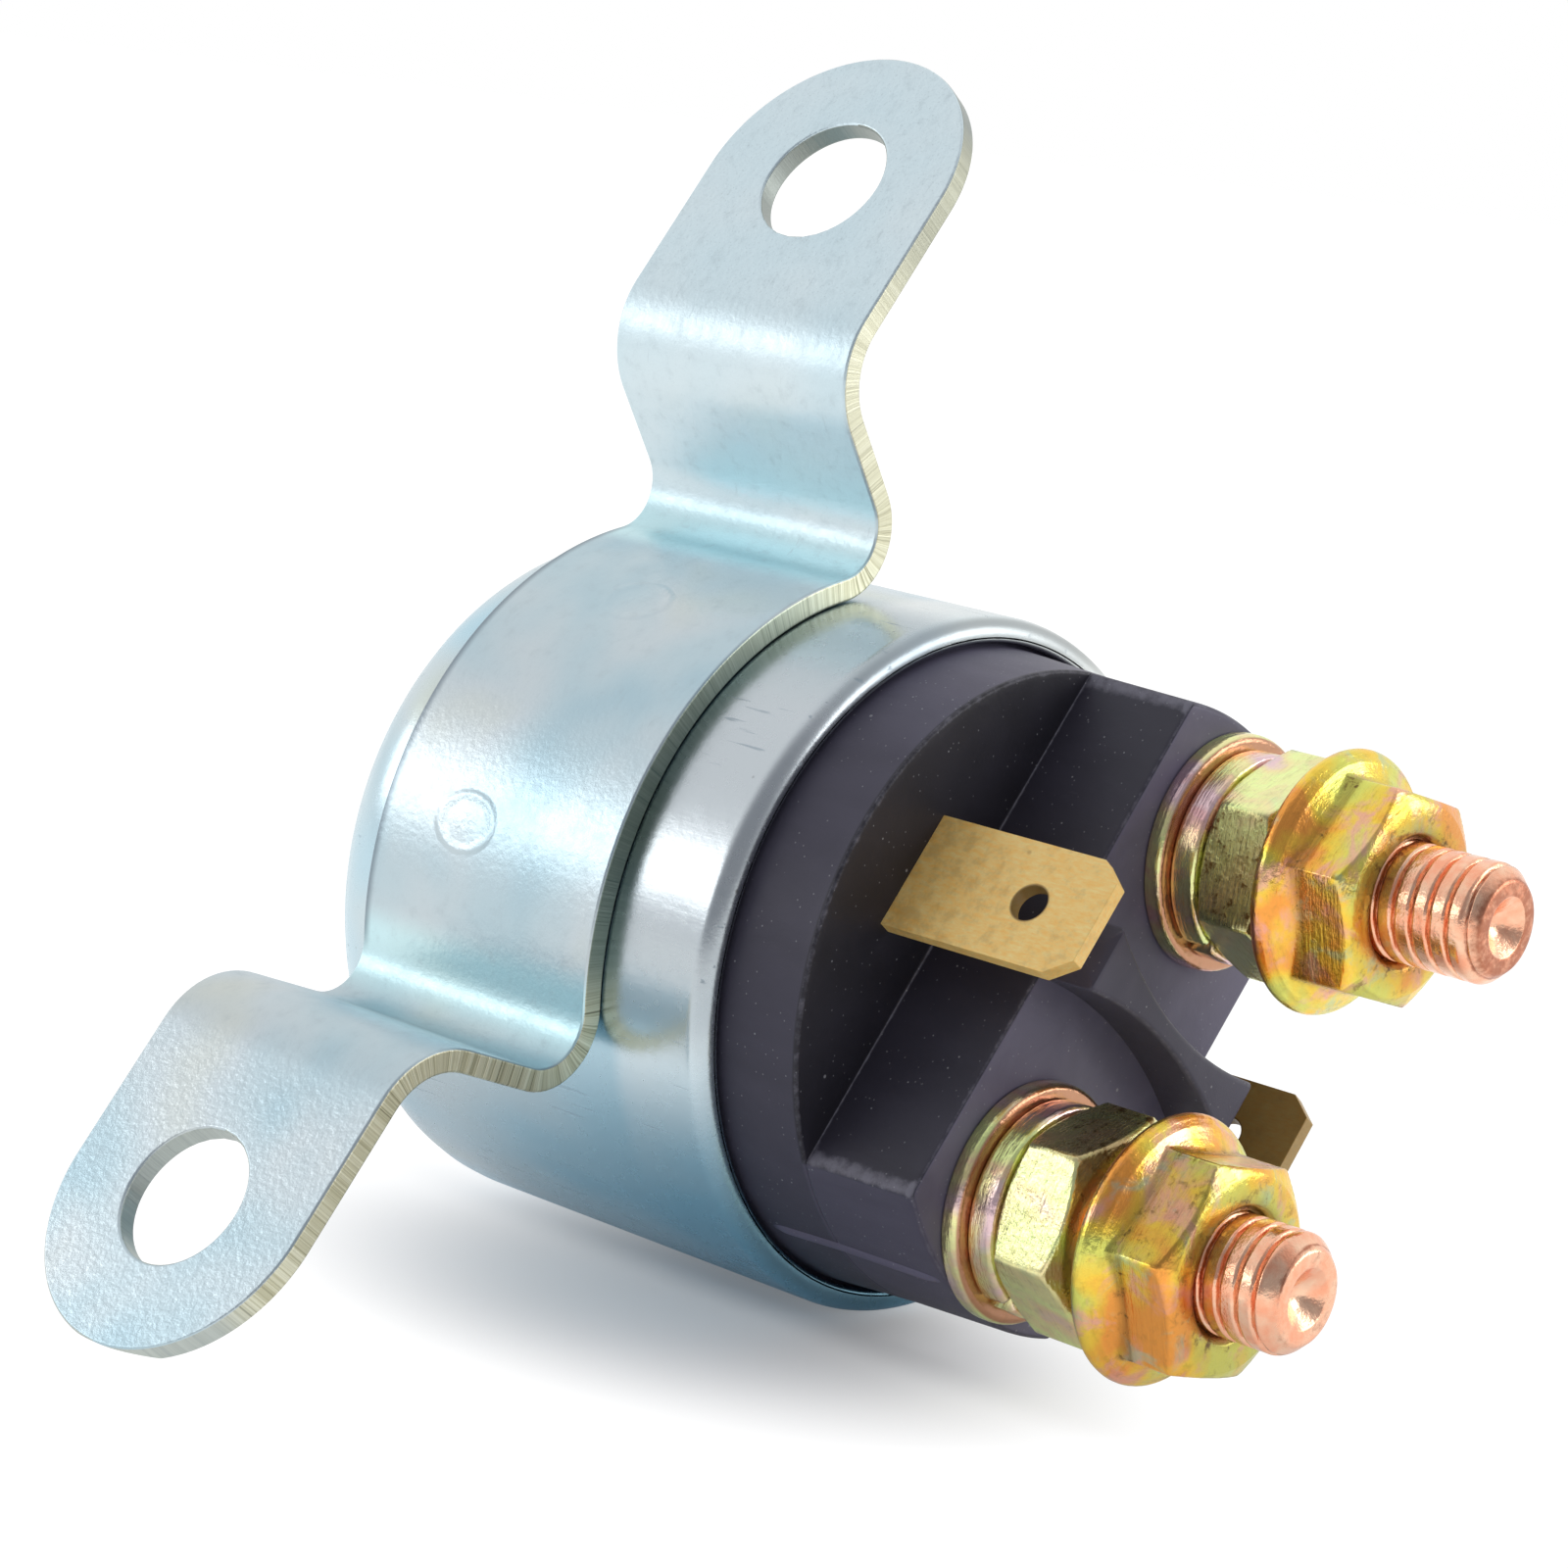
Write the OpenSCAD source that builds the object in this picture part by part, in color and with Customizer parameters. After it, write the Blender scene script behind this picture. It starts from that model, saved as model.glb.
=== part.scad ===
// Starter solenoid relay: a deep-drawn can on a two-eared strap, with a moulded cap that
// carries two threaded main studs and two blade terminals for the coil.
// The can stands on its closed back at z = 0, its axis is +Z and the ears' faces look along -Y.

/* [Can] */
// Wall thickness of the can
can_wall = 1; // [0.8:0.1:1.4]
// Height from the closed back to the rolled rim
can_h = 28.5; // [27:0.5:36]
// Outside radius of the drawn corner at the back
can_corner_r = 5; // [3:0.5:7]
// How far the rolled rim reaches in over the cap's flange
rim_lip = 0.25; // [0.15:0.05:0.35]
// Height of the rolled rim
rim_h = 0.8; // [0.7:0.1:1.5]
// Radius of the rim's outer edge
rim_edge_r = 0.6; // [0.2:0.1:0.7]

/* [Strap] */
// Sheet thickness of the strap
strap_t = 1.2; // [1:0.1:2]
// Width of the strap, which is also the width of its round ears
strap_w = 16; // [12:0.5:18]
// Height of the strap's rear edge above the can's back
strap_z = 5.9; // [5:0.1:8]
// Half of the angle that the strap wraps round the can
strap_wrap_deg = 42.5; // [35:0.5:50]
// Bend radius between the wrap and the leg, on the face that looks away from the can
leg_bend_r = 2.3; // [1.5:0.1:3.5]
// Angle of the leg to the ears' faces
leg_deg = 70.6; // [60:0.2:80]
// Straight length of the leg
leg_len = 4.5; // [3:0.1:7]
// Bend radius between the leg and the ear, on the mounting face
ear_bend_r = 4.9; // [3:0.1:6]
// Flat length of the ear from its bend to the middle of its hole
ear_flat = 7.75; // [6:0.05:12]
// Diameter of the mounting holes
ear_hole_d = 7.2; // [5:0.1:8.5]

/* [Cap] */
// Clearance between the cap's skirt and the rolled rim
skirt_gap = 0.2; // [0.1:0.05:0.4]
// Wall thickness of the cap at the rim
cap_wall = 1.65; // [1.4:0.05:2]
// Height of the deck above the can's rim
deck_rise = 4.6; // [3.5:0.1:7]
// Thickness of the deck
deck_t = 2; // [1.5:0.1:3]
// How much the radius shrinks from the rim to the deck
skirt_draft = 0.35; // [0:0.05:0.5]
// Width of the middle block that carries the studs
block_w = 15; // [13:0.5:18]
// Height of the block above the deck
block_rise = 6.6; // [4:0.1:9]
// How much the radius shrinks from the deck to the top of the block
block_draft = 0.2; // [0:0.05:0.4]
// Height of the barrier between the studs
barrier_h = 3.2; // [1:0.1:6]
// Width of the barrier at its waist
barrier_waist = 1.1; // [0.8:0.1:2]
// Radius of the barrier's hollow flanks
barrier_flank_r = 23.2; // [16:0.2:40]
// Thickness of the rubber ring under the cap
gasket_t = 0.8; // [0.5:0.1:1.2]

/* [Main studs] */
// Distance between the two studs
stud_spacing = 20.4; // [19.6:0.2:21]
// Diameter over the stud's thread
stud_d = 5.9; // [5:0.1:6.2]
// Height of the stud's end above the block
stud_reach = 17; // [15.5:0.1:24]
// Chamfer at the stud's end
stud_chamfer = 0.7; // [0.3:0.1:1]
// Diameter of the turning centre in the stud's end
centre_d = 3; // [1.5:0.1:3.2]
// Depth of the turning centre
centre_depth = 1.2; // [0.5:0.1:1.5]
// Diameter of the stud's head, the fixed contact
head_d = 8.6; // [7:0.1:9]
// Width over the head's two flats
head_flats = 7.6; // [6:0.1:8]
// Thickness of the head
head_t = 2.5; // [1.5:0.1:3.5]
// Clearance between the head and the cap's inner wall
head_clear = 0.4; // [0.2:0.1:0.8]

/* [Washers and nuts] */
// Outside diameter of the flat washers
flat_washer_d = 12; // [10:0.1:12.5]
// Thickness of the flat washers
flat_washer_t = 1; // [0.8:0.1:1.6]
// Outside diameter of the spring washers
spring_washer_d = 10.6; // [9:0.1:11.5]
// Thickness of the spring washers
spring_washer_t = 1.5; // [1:0.1:2]
// Width of the slit in the spring washers
spring_washer_slit = 0.8; // [0.4:0.1:1.2]
// Clearance all round between the washers' holes and the stud
washer_clear = 0.2; // [0.1:0.05:0.4]
// Width across the flats of all nuts
nut_flats = 10; // [9:0.5:11]
// Height of the clamp nuts
clamp_nut_h = 4; // [3:0.1:5]
// Diameter of the flange nuts' flange
flange_d = 13.2; // [12:0.1:14.2]
// Thickness of the flange at its edge
flange_t = 1.1; // [0.7:0.1:1.6]
// Height of the cone from the flange's edge up to the hexagon
flange_cone_h = 0.7; // [0.3:0.1:1.2]
// Height of the flange nuts
flange_nut_h = 4.8; // [4:0.1:6.5]
// How far flange nut A stands off its clamp nut
nut_a_lift = 0.2; // [0.1:0.1:2]
// How far flange nut B stands off its clamp nut
nut_b_lift = 1.7; // [0.1:0.1:2.5]
// How far clamp nut A is turned from where a corner points along X
clamp_nut_a_deg = -29; // [-30:0.1:30]
// How far clamp nut B is turned from where a corner points along X
clamp_nut_b_deg = 20; // [-30:0.1:30]
// How far flange nut A is turned from where a corner points along X
flange_nut_a_deg = -7.4; // [-30:0.1:30]
// How far flange nut B is turned from where a corner points along X
flange_nut_b_deg = -2.9; // [-30:0.1:30]
// Running clearance between the nuts' bores and the stud
nut_clear = 0.05; // [0.02:0.01:0.1]

/* [Blade terminals] */
// Width of the blades
blade_w = 6.3; // [4.8:0.1:6.6]
// Thickness of the blades
blade_t = 0.8; // [0.5:0.1:1]
// Length of the blades above the deck
blade_reach = 11.3; // [8:0.1:14]
// Clearance between the contact disc's edge and the blades' inner faces
blade_clear = 0.6; // [0.3:0.1:1.6]
// Corner chamfer along the blade's tip
tip_chamfer_w = 1; // [0.5:0.1:1.5]
// Corner chamfer along the blade's side
tip_chamfer_h = 1.3; // [0.5:0.1:2]
// Diameter of the hole in the blades
blade_hole_d = 1.9; // [1:0.1:2.2]
// Height of that hole above the deck
blade_hole_rise = 7.3; // [4:0.1:8]
// Length of the blade's tail below the deck's upper face
blade_tail = 6.5; // [4.5:0.1:7]

/* [Coil and magnet] */
// Thickness of the insulating disc on the can's floor
base_disc_t = 1.2; // [0.8:0.1:1.6]
// Thickness of the bobbin's flanges
bobbin_flange_t = 1; // [0.6:0.1:1.5]
// Wall thickness of the bobbin's tube
bobbin_wall = 0.9; // [0.6:0.1:1.5]
// How far the bobbin's flanges stand out over the taped winding
bobbin_lip = 0.9; // [0.4:0.1:1.4]
// Diameter of the winding
winding_d = 28.6; // [27:0.2:29]
// Thickness of the tape over the winding
tape_t = 0.25; // [0.1:0.05:0.4]
// Free space between the taped winding and the can
coil_clear = 2.4; // [1.6:0.1:4]
// Diameter of the two coil leads
lead_d = 0.7; // [0.4:0.1:1]
// How far the leads lie along the blades' tails
lead_lap = 2.5; // [1:0.1:3.5]
// Thickness of the pole plate
plate_t = 2; // [1.6:0.1:2.1]
// Diameter of the plunger and the fixed core
plunger_d = 10; // [9:0.1:11]
// Stroke of the plunger
stroke = 2.5; // [2:0.1:2.8]
// Gap that is left between plunger and core at full stroke
stop_gap = 0.1; // [0.05:0.05:0.2]
// Diameter of the core's neck in the pole plate
neck_d = 6.4; // [5.5:0.1:7]
// Height of the core's staked head above the pole plate
stake_h = 0.3; // [0.1:0.1:0.35]
// Clearance between that staked head and the push rod's collar
stake_clear = 0.25; // [0.1:0.05:0.5]
// Diameter of the spring pockets in plunger and core
pocket_d = 6; // [5.6:0.1:6.6]
// Radial running clearance of plunger and push rod
slide_clear = 0.08; // [0.05:0.01:0.1]

/* [Contact bridge] */
// Diameter of the push rod
rod_d = 3; // [2.5:0.1:3.2]
// Diameter of the push rod's collar
collar_d = 6.2; // [6:0.1:7]
// Thickness of the push rod's collar
collar_t = 0.8; // [0.6:0.1:0.9]
// Length of the push rod above its clip
rod_tip = 0.9; // [0.5:0.1:1.1]
// Diameter of the contact disc
disc_d = 20.4; // [18:0.2:20.6]
// Thickness of the contact disc
disc_t = 1.6; // [1.4:0.1:1.8]
// Gap that is left between contact disc and stud heads at full stroke
contact_clear = 0.05; // [0.02:0.01:0.1]
// Diameter of the insulating bush's flange and of the insulating washer
bush_d = 7.2; // [6.6:0.1:8]
// Wall thickness of the insulating bush
bush_wall = 0.9; // [0.6:0.1:1.2]
// Thickness of the insulating bush's flange
bush_flange_t = 0.6; // [0.4:0.1:0.9]
// Thickness of the insulating washer
under_washer_t = 0.5; // [0.4:0.1:0.7]
// Outside diameter of the retaining clip
clip_d = 6; // [5:0.1:6.5]
// Thickness of the retaining clip
clip_t = 0.6; // [0.4:0.1:0.8]
// Depth of the clip's groove in the push rod
groove_depth = 0.35; // [0.2:0.05:0.5]
// Free space between the clip and the bush
clip_gap = 0.05; // [0.03:0.01:0.1]

/* [Springs] */
// Wire diameter of the return spring
return_wire = 0.5; // [0.4:0.05:0.6]
// Coils of the return spring
return_coils = 6; // [4:1:7]
// Wire diameter of the contact spring
contact_wire = 0.6; // [0.4:0.05:0.65]
// Coils of the contact spring
contact_coils = 3; // [2:1:3]
// Length of the contact spring at rest
contact_spring_h = 3; // [2.9:0.1:3.2]
// Clearance between a spring and the rod inside it
spring_bore_clear = 0.3; // [0.2:0.05:0.4]

/* [Hidden] */
$fn = 96;
spring_fn = 6;
spring_steps = 14;
seat = 0.05;
overrun = 1;

stud_x = stud_spacing / 2;
stud_r = stud_d / 2;
tape_r = winding_d / 2 + seat + tape_t;
coil_need_r = tape_r + coil_clear;
stud_need_r = stud_x + head_d / 2 + head_clear + cap_wall + skirt_gap + rim_lip;
can_bore_r = max(coil_need_r, stud_need_r);
can_r = can_bore_r + can_wall;
can_inner_corner_r = can_corner_r - can_wall;
rim_z = can_h - rim_h;
rim_bore_r = can_bore_r - rim_lip;

strap_r = can_r + seat + strap_t;
strap_mid_z = strap_z + strap_w / 2;
ear_r = strap_w / 2;
function along(deg) = [cos(deg), sin(deg)];
function across(deg) = [-sin(deg), cos(deg)];
leg_bend_c = (strap_r + leg_bend_r) * [sin(strap_wrap_deg), -cos(strap_wrap_deg)];
leg_from = leg_bend_c + leg_bend_r * across(-leg_deg);
wrap_steps = 14;
bend_steps = 12;
leg_to = leg_from + leg_len * along(-leg_deg);
ear_bend_c = leg_to + ear_bend_r * across(-leg_deg);
ear_face_y = ear_bend_c[1] - ear_bend_r;
hole_x = ear_bend_c[0] + ear_flat;

deck_z = can_h + deck_rise;
ceiling_z = deck_z - deck_t;
pad_z = deck_z + block_rise;
head_z = ceiling_z - head_t;
disc_top = head_z - contact_clear - stroke;
disc_z = disc_top - disc_t;
collar_top = disc_z - under_washer_t - contact_spring_h;
plate_top = collar_top - collar_t - stake_clear - stake_h;
cap_z = plate_top + gasket_t;
bobbin_top = plate_top - plate_t;
base_disc_r = can_r - can_corner_r - seat;
base_top = can_wall + base_disc_t;
bobbin_h = bobbin_top - base_top;

skirt_r = rim_bore_r - skirt_gap;
deck_r = skirt_r - skirt_draft;
pad_r = deck_r - block_draft;
chamber_r = skirt_r - cap_wall;
barrier_flank_c = barrier_flank_r + barrier_waist / 2;
barrier_end_w = 2 * (barrier_flank_c - sqrt(pow(barrier_flank_r, 2) - pow(block_w / 2, 2)));

stud_end = pad_z + stud_reach;
spring_washer_z = pad_z + flat_washer_t;
clamp_nut_z = spring_washer_z + spring_washer_t;
clamp_nut_top = clamp_nut_z + clamp_nut_h;
nut_corner_r = nut_flats / 2 / cos(30);
nut_chamfer_face_share = 0.94;
nut_face_r = nut_flats / 2 * nut_chamfer_face_share;
nut_chamfer_h = (nut_corner_r - nut_face_r) * tan(30);

blade_y = disc_d / 2 + blade_clear + blade_t / 2;
blade_tail_z = deck_z - blade_tail;
lead_y = blade_y + blade_t / 2 + lead_d / 2;
lead_hole_r = lead_d;

bore_r = plunger_d / 2 + slide_clear;
tube_r = bore_r + bobbin_wall;
winding_z = base_top + bobbin_flange_t;
winding_top = bobbin_top - bobbin_flange_t;
bobbin_r = tape_r + bobbin_lip;
plunger_z = base_top + seat;
iron_h = bobbin_top - plunger_z - stroke - stop_gap;
plunger_share = 0.557;
plunger_pocket_share = 0.4225;
rod_grip_share = 0.352;
core_pocket_share = 0.46;
plunger_h = iron_h * plunger_share;
plunger_top = plunger_z + plunger_h;
core_z = plunger_top + stroke + stop_gap;
core_pocket = (bobbin_top - core_z) * core_pocket_share;
return_spring_z = plunger_top - plunger_h * plunger_pocket_share;
return_spring_top = core_z + core_pocket;
rod_grip = plunger_h * rod_grip_share;

rod_r = rod_d / 2;
clip_z = disc_top + bush_flange_t + clip_gap;
rod_top = clip_z + clip_t + rod_tip;
bush_r = rod_r + slide_clear + bush_wall;

// A flat ring or tube standing on z.
module tube(outer_r, inner_r, h, z) {
    translate([0, 0, z])
        difference() {
            cylinder(r = outer_r, h = h);
            translate([0, 0, -overrun])
                cylinder(r = inner_r, h = h + 2 * overrun);
        }
}

// Points on an arc round centre c, with its first point left out.
function arc(c, r, from_deg, to_deg, steps) =
    [for (i = [1 : steps]) c + r * along(from_deg + (to_deg - from_deg) * i / steps)];

// A round rod whose end is chamfered at 45 degrees.
module chamfered_rod(r, h, chamfer) {
    cylinder(r = r, h = h - chamfer);
    translate([0, 0, h - chamfer])
        cylinder(r1 = r, r2 = r - chamfer, h = chamfer);
}

// A coil of round wire as one tube. The first and last turn lie flat, the rest rises evenly.
function wire_z(turn, coils, h, wire) =
    let (dead = wire * 1.15, live = (h - wire - 2 * dead) / (coils - 2))
    wire / 2 + min(turn, 1) * dead + max(0, min(turn - 1, coils - 2)) * live
        + max(0, turn - coils + 1) * dead;
module wire_coil(mean_r, wire, coils, h, z) {
    rings = coils * spring_steps;
    points = [
        for (i = [0 : rings], k = [0 : spring_fn - 1])
            let (deg = 360 * i / spring_steps, side = 360 * k / spring_fn,
                 r = mean_r + wire / 2 * cos(side))
            [r * cos(deg), r * sin(deg),
             wire_z(i / spring_steps, coils, h, wire) + wire / 2 * sin(side)]
    ];
    walls = [
        for (i = [0 : rings - 1], k = [0 : spring_fn - 1])
            let (next = (k + 1) % spring_fn, a = i * spring_fn, b = a + spring_fn)
            each [[a + k, a + next, b + next], [a + k, b + next, b + k]]
    ];
    last = rings * spring_fn;
    ends = [
        for (k = [1 : spring_fn - 2])
            each [[0, k + 1, k], [last, last + k, last + k + 1]]
    ];
    translate([0, 0, z])
        polyhedron(points = points, faces = concat(walls, ends));
}

// Can
module can_outline(r, corner_r, h) {
    square([r - corner_r, h]);
    translate([0, corner_r])
        square([r, h - corner_r]);
    translate([r - corner_r, corner_r])
        intersection() {
            circle(r = corner_r);
            translate([0, -corner_r])
                square(corner_r);
        }
}
module can_shell() {
    color("lightsteelblue")
        rotate_extrude()
            difference() {
                can_outline(can_r, can_corner_r, can_h);
                translate([0, can_wall])
                    can_outline(can_bore_r, can_inner_corner_r, rim_z - can_wall);
                rim_mouth();
                rim_edge();
            }
}
module rim_mouth() {
    translate([0, rim_z - can_wall])
        square([rim_bore_r, rim_h + can_wall + overrun]);
}
module rim_edge() {
    translate([can_r - rim_edge_r, can_h - rim_edge_r])
        difference() {
            square(rim_edge_r + overrun);
            circle(r = rim_edge_r);
        }
}

// Strap
// One face of the sheet from the middle of the wrap to the ear's end, at a depth into the sheet.
function strap_face(depth) = concat(
    arc([0, 0], strap_r - depth, -90, strap_wrap_deg - 90, wrap_steps),
    arc(leg_bend_c, leg_bend_r + depth, 90 + strap_wrap_deg, 90 - leg_deg, bend_steps),
    [leg_to + depth * across(-leg_deg)],
    arc(ear_bend_c, ear_bend_r - depth, -90 - leg_deg, -90, bend_steps),
    [[hole_x + ear_r, ear_face_y + depth]]
);
function reversed(points) = [for (i = [len(points) - 1 : -1 : 0]) points[i]];
module strap_profile() {
    half = concat(strap_face(0), reversed(strap_face(strap_t)));
    polygon(concat(half, [for (p = reversed(half)) [-p[0], p[1]]]));
}
module strap_plan() {
    square([2 * hole_x, strap_w], center = true);
    for (side = [-1, 1])
        translate([side * hole_x, 0])
            circle(r = ear_r);
}
module mounting_strap() {
    depth = strap_r - ear_face_y;
    color("lightsteelblue")
        difference() {
            intersection() {
                translate([0, 0, strap_z - overrun])
                    linear_extrude(height = strap_w + 2 * overrun)
                        strap_profile();
                translate([0, 0, strap_mid_z])
                    rotate([90, 0, 0])
                        linear_extrude(height = depth)
                            strap_plan();
            }
            for (side = [-1, 1])
                translate([side * hole_x, ear_face_y + strap_t + overrun, strap_mid_z])
                    rotate([90, 0, 0])
                        cylinder(d = ear_hole_d, h = strap_t + 2 * overrun);
        }
}

// Cap
module barrier_plan() {
    difference() {
        square([barrier_end_w, block_w], center = true);
        for (side = [-1, 1])
            translate([side * barrier_flank_c, 0])
                circle(r = barrier_flank_r, $fn = 180);
    }
}
module cap_body() {
    translate([0, 0, cap_z])
        cylinder(r = can_bore_r - seat, h = rim_z - cap_z);
    translate([0, 0, rim_z])
        cylinder(r1 = skirt_r, r2 = deck_r, h = deck_z - rim_z);
    intersection() {
        translate([0, 0, deck_z])
            cylinder(r1 = deck_r, r2 = pad_r, h = block_rise);
        translate([-deck_r, -block_w / 2, deck_z])
            cube([2 * deck_r, block_w, block_rise]);
    }
    translate([0, 0, pad_z])
        linear_extrude(height = barrier_h)
            barrier_plan();
}
module terminal_cap() {
    color("dimgray")
        difference() {
            cap_body();
            translate([0, 0, cap_z - overrun])
                cylinder(r = chamber_r, h = ceiling_z - cap_z + overrun);
            for (side = [-1, 1])
                translate([side * stud_x, 0, ceiling_z - overrun])
                    cylinder(r = stud_r + seat, h = deck_t + block_rise + 2 * overrun);
            for (side = [-1, 1])
                translate([-blade_w / 2 - seat, side * blade_y - blade_t / 2 - seat, ceiling_z - overrun])
                    cube([blade_w + 2 * seat, blade_t + 2 * seat, deck_t + 2 * overrun]);
        }
}
module cap_gasket() {
    color("black")
        tube(can_bore_r - seat, chamber_r, gasket_t, plate_top);
}

// Main studs
module stud() {
    difference() {
        union() {
            translate([0, 0, ceiling_z])
                chamfered_rod(stud_r, stud_end - ceiling_z, stud_chamfer);
            intersection() {
                translate([0, 0, head_z])
                    cylinder(d = head_d, h = head_t);
                translate([-head_d / 2, -head_flats / 2, head_z])
                    cube([head_d, head_flats, head_t]);
            }
        }
        translate([0, 0, stud_end - centre_depth])
            cylinder(r1 = 0, r2 = centre_d / 2, h = centre_depth);
    }
}
module terminal_stud_a() {
    color("peru")
        translate([-stud_x, 0, 0])
            stud();
}
module terminal_stud_b() {
    color("peru")
        translate([stud_x, 0, 0])
            stud();
}

// Washers and nuts
module flat_washers() {
    color("burlywood")
        for (side = [-1, 1])
            translate([side * stud_x, 0, 0])
                tube(flat_washer_d / 2, stud_r + washer_clear, flat_washer_t, pad_z);
}
module spring_washer() {
    difference() {
        tube(spring_washer_d / 2, stud_r + washer_clear, spring_washer_t, spring_washer_z);
        translate([0, -spring_washer_slit / 2, spring_washer_z - overrun])
            cube([spring_washer_d, spring_washer_slit, spring_washer_t + 2 * overrun]);
    }
}
module spring_washers() {
    color("khaki")
        for (side = [-1, 1])
            translate([side * stud_x, 0, 0])
                spring_washer();
}
// A hexagon whose corners are turned off under a cone at the top and, if asked, at the bottom.
module hexagon(h, lower_chamfer) {
    intersection() {
        cylinder(r = nut_corner_r, h = h, $fn = 6);
        rotate_extrude()
            polygon([
                [0, 0], [nut_corner_r - lower_chamfer / tan(30), 0], [nut_corner_r, lower_chamfer],
                [nut_corner_r, h - nut_chamfer_h], [nut_face_r, h], [0, h]
            ]);
    }
}
module nut_bore(h) {
    translate([0, 0, -overrun])
        cylinder(r = stud_r + nut_clear, h = h + 2 * overrun);
}
module clamp_nuts() {
    color("khaki")
        for (side = [-1, 1])
            translate([side * stud_x, 0, clamp_nut_z])
                rotate([0, 0, side < 0 ? clamp_nut_a_deg : clamp_nut_b_deg])
                    difference() {
                        hexagon(clamp_nut_h, nut_chamfer_h);
                        nut_bore(clamp_nut_h);
                    }
}
module flange_nut() {
    difference() {
        union() {
            hexagon(flange_nut_h, 0);
            cylinder(d = flange_d, h = flange_t);
            translate([0, 0, flange_t])
                cylinder(r1 = flange_d / 2, r2 = nut_flats / 2, h = flange_cone_h);
        }
        nut_bore(flange_nut_h);
    }
}
module flange_nut_a() {
    color("goldenrod")
        translate([-stud_x, 0, clamp_nut_top + nut_a_lift])
            rotate([0, 0, flange_nut_a_deg])
                flange_nut();
}
module flange_nut_b() {
    color("goldenrod")
        translate([stud_x, 0, clamp_nut_top + nut_b_lift])
            rotate([0, 0, flange_nut_b_deg])
                flange_nut();
}

// Blade terminals
module blade_plan() {
    tip = blade_tail + blade_reach;
    half = blade_w / 2;
    difference() {
        polygon([
            [-half, 0], [half, 0], [half, tip - tip_chamfer_h], [half - tip_chamfer_w, tip],
            [tip_chamfer_w - half, tip], [-half, tip - tip_chamfer_h]
        ]);
        translate([0, blade_tail + blade_hole_rise])
            circle(d = blade_hole_d);
    }
}
module blade(side) {
    translate([0, side * blade_y + blade_t / 2, blade_tail_z])
        rotate([90, 0, 0])
            linear_extrude(height = blade_t)
                blade_plan();
}
module blade_terminal_front() {
    color("gold")
        blade(-1);
}
module blade_terminal_rear() {
    color("gold")
        blade(1);
}

// Coil
module base_disc() {
    color("saddlebrown")
        translate([0, 0, can_wall])
            cylinder(r = base_disc_r, h = base_disc_t);
}
module coil_bobbin() {
    color("ivory")
        difference() {
            union() {
                translate([0, 0, base_top])
                    cylinder(r = bobbin_r, h = bobbin_flange_t);
                translate([0, 0, base_top])
                    cylinder(r = tube_r, h = bobbin_h);
                translate([0, 0, winding_top])
                    cylinder(r = bobbin_r, h = bobbin_flange_t);
            }
            translate([0, 0, base_top - overrun])
                cylinder(r = bore_r, h = bobbin_h + 2 * overrun);
            lead_holes(winding_top, bobbin_flange_t);
        }
}
module lead_holes(z, h) {
    for (side = [-1, 1])
        translate([0, side * lead_y, z - overrun / 2])
            cylinder(r = lead_hole_r, h = h + overrun);
}
module coil_winding() {
    color("chocolate")
        tube(winding_d / 2, tube_r + seat, winding_top - winding_z - 2 * seat, winding_z + seat);
}
module winding_tape() {
    color("darkgreen")
        tube(tape_r, winding_d / 2 + seat,
             winding_top - winding_z - 2 * seat, winding_z + seat);
}
module coil_lead(side) {
    from_z = winding_top - seat;
    to_z = blade_tail_z + lead_lap;
    translate([0, side * (lead_y + seat), from_z])
        cylinder(d = lead_d, h = to_z - from_z);
}
module coil_lead_front() {
    color("chocolate")
        coil_lead(-1);
}
module coil_lead_rear() {
    color("chocolate")
        coil_lead(1);
}

// Magnet
module pole_plate() {
    color("silver")
        difference() {
            tube(can_bore_r - seat, neck_d / 2 + seat, plate_t, bobbin_top);
            lead_holes(bobbin_top, plate_t);
        }
}
module fixed_core() {
    color("gray")
        difference() {
            union() {
                translate([0, 0, core_z])
                    cylinder(d = plunger_d, h = bobbin_top - core_z);
                translate([0, 0, bobbin_top])
                    cylinder(d = neck_d, h = plate_t + stake_h);
            }
            translate([0, 0, core_z - overrun])
                cylinder(r = rod_r + slide_clear, h = plate_top + stake_h - core_z + 2 * overrun);
            translate([0, 0, core_z - overrun])
                cylinder(d = pocket_d, h = core_pocket + overrun);
        }
}
module plunger() {
    color("gray")
        difference() {
            translate([0, 0, plunger_z])
                cylinder(d = plunger_d, h = plunger_h);
            translate([0, 0, return_spring_z])
                cylinder(d = pocket_d, h = plunger_h * plunger_pocket_share + overrun);
            translate([0, 0, return_spring_z - rod_grip])
                cylinder(r = rod_r + seat, h = rod_grip + overrun);
        }
}
module push_rod() {
    rod_z = return_spring_z - rod_grip;
    color("silver")
        difference() {
            union() {
                translate([0, 0, rod_z])
                    cylinder(r = rod_r, h = rod_top - rod_z);
                translate([0, 0, collar_top - collar_t])
                    cylinder(d = collar_d, h = collar_t);
            }
            tube(rod_r + overrun, rod_r - groove_depth, clip_t + seat, clip_z);
        }
}
module retaining_clip() {
    color("dimgray")
        difference() {
            tube(clip_d / 2, rod_r - groove_depth + seat / 2, clip_t, clip_z + seat / 2);
            translate([0, -rod_r + groove_depth, clip_z - overrun])
                cube([clip_d, 2 * (rod_r - groove_depth), clip_t + 2 * overrun]);
        }
}
module return_spring() {
    color("lightgray")
        wire_coil(rod_r + spring_bore_clear + return_wire / 2, return_wire, return_coils,
                  return_spring_top - return_spring_z, return_spring_z);
}

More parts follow.
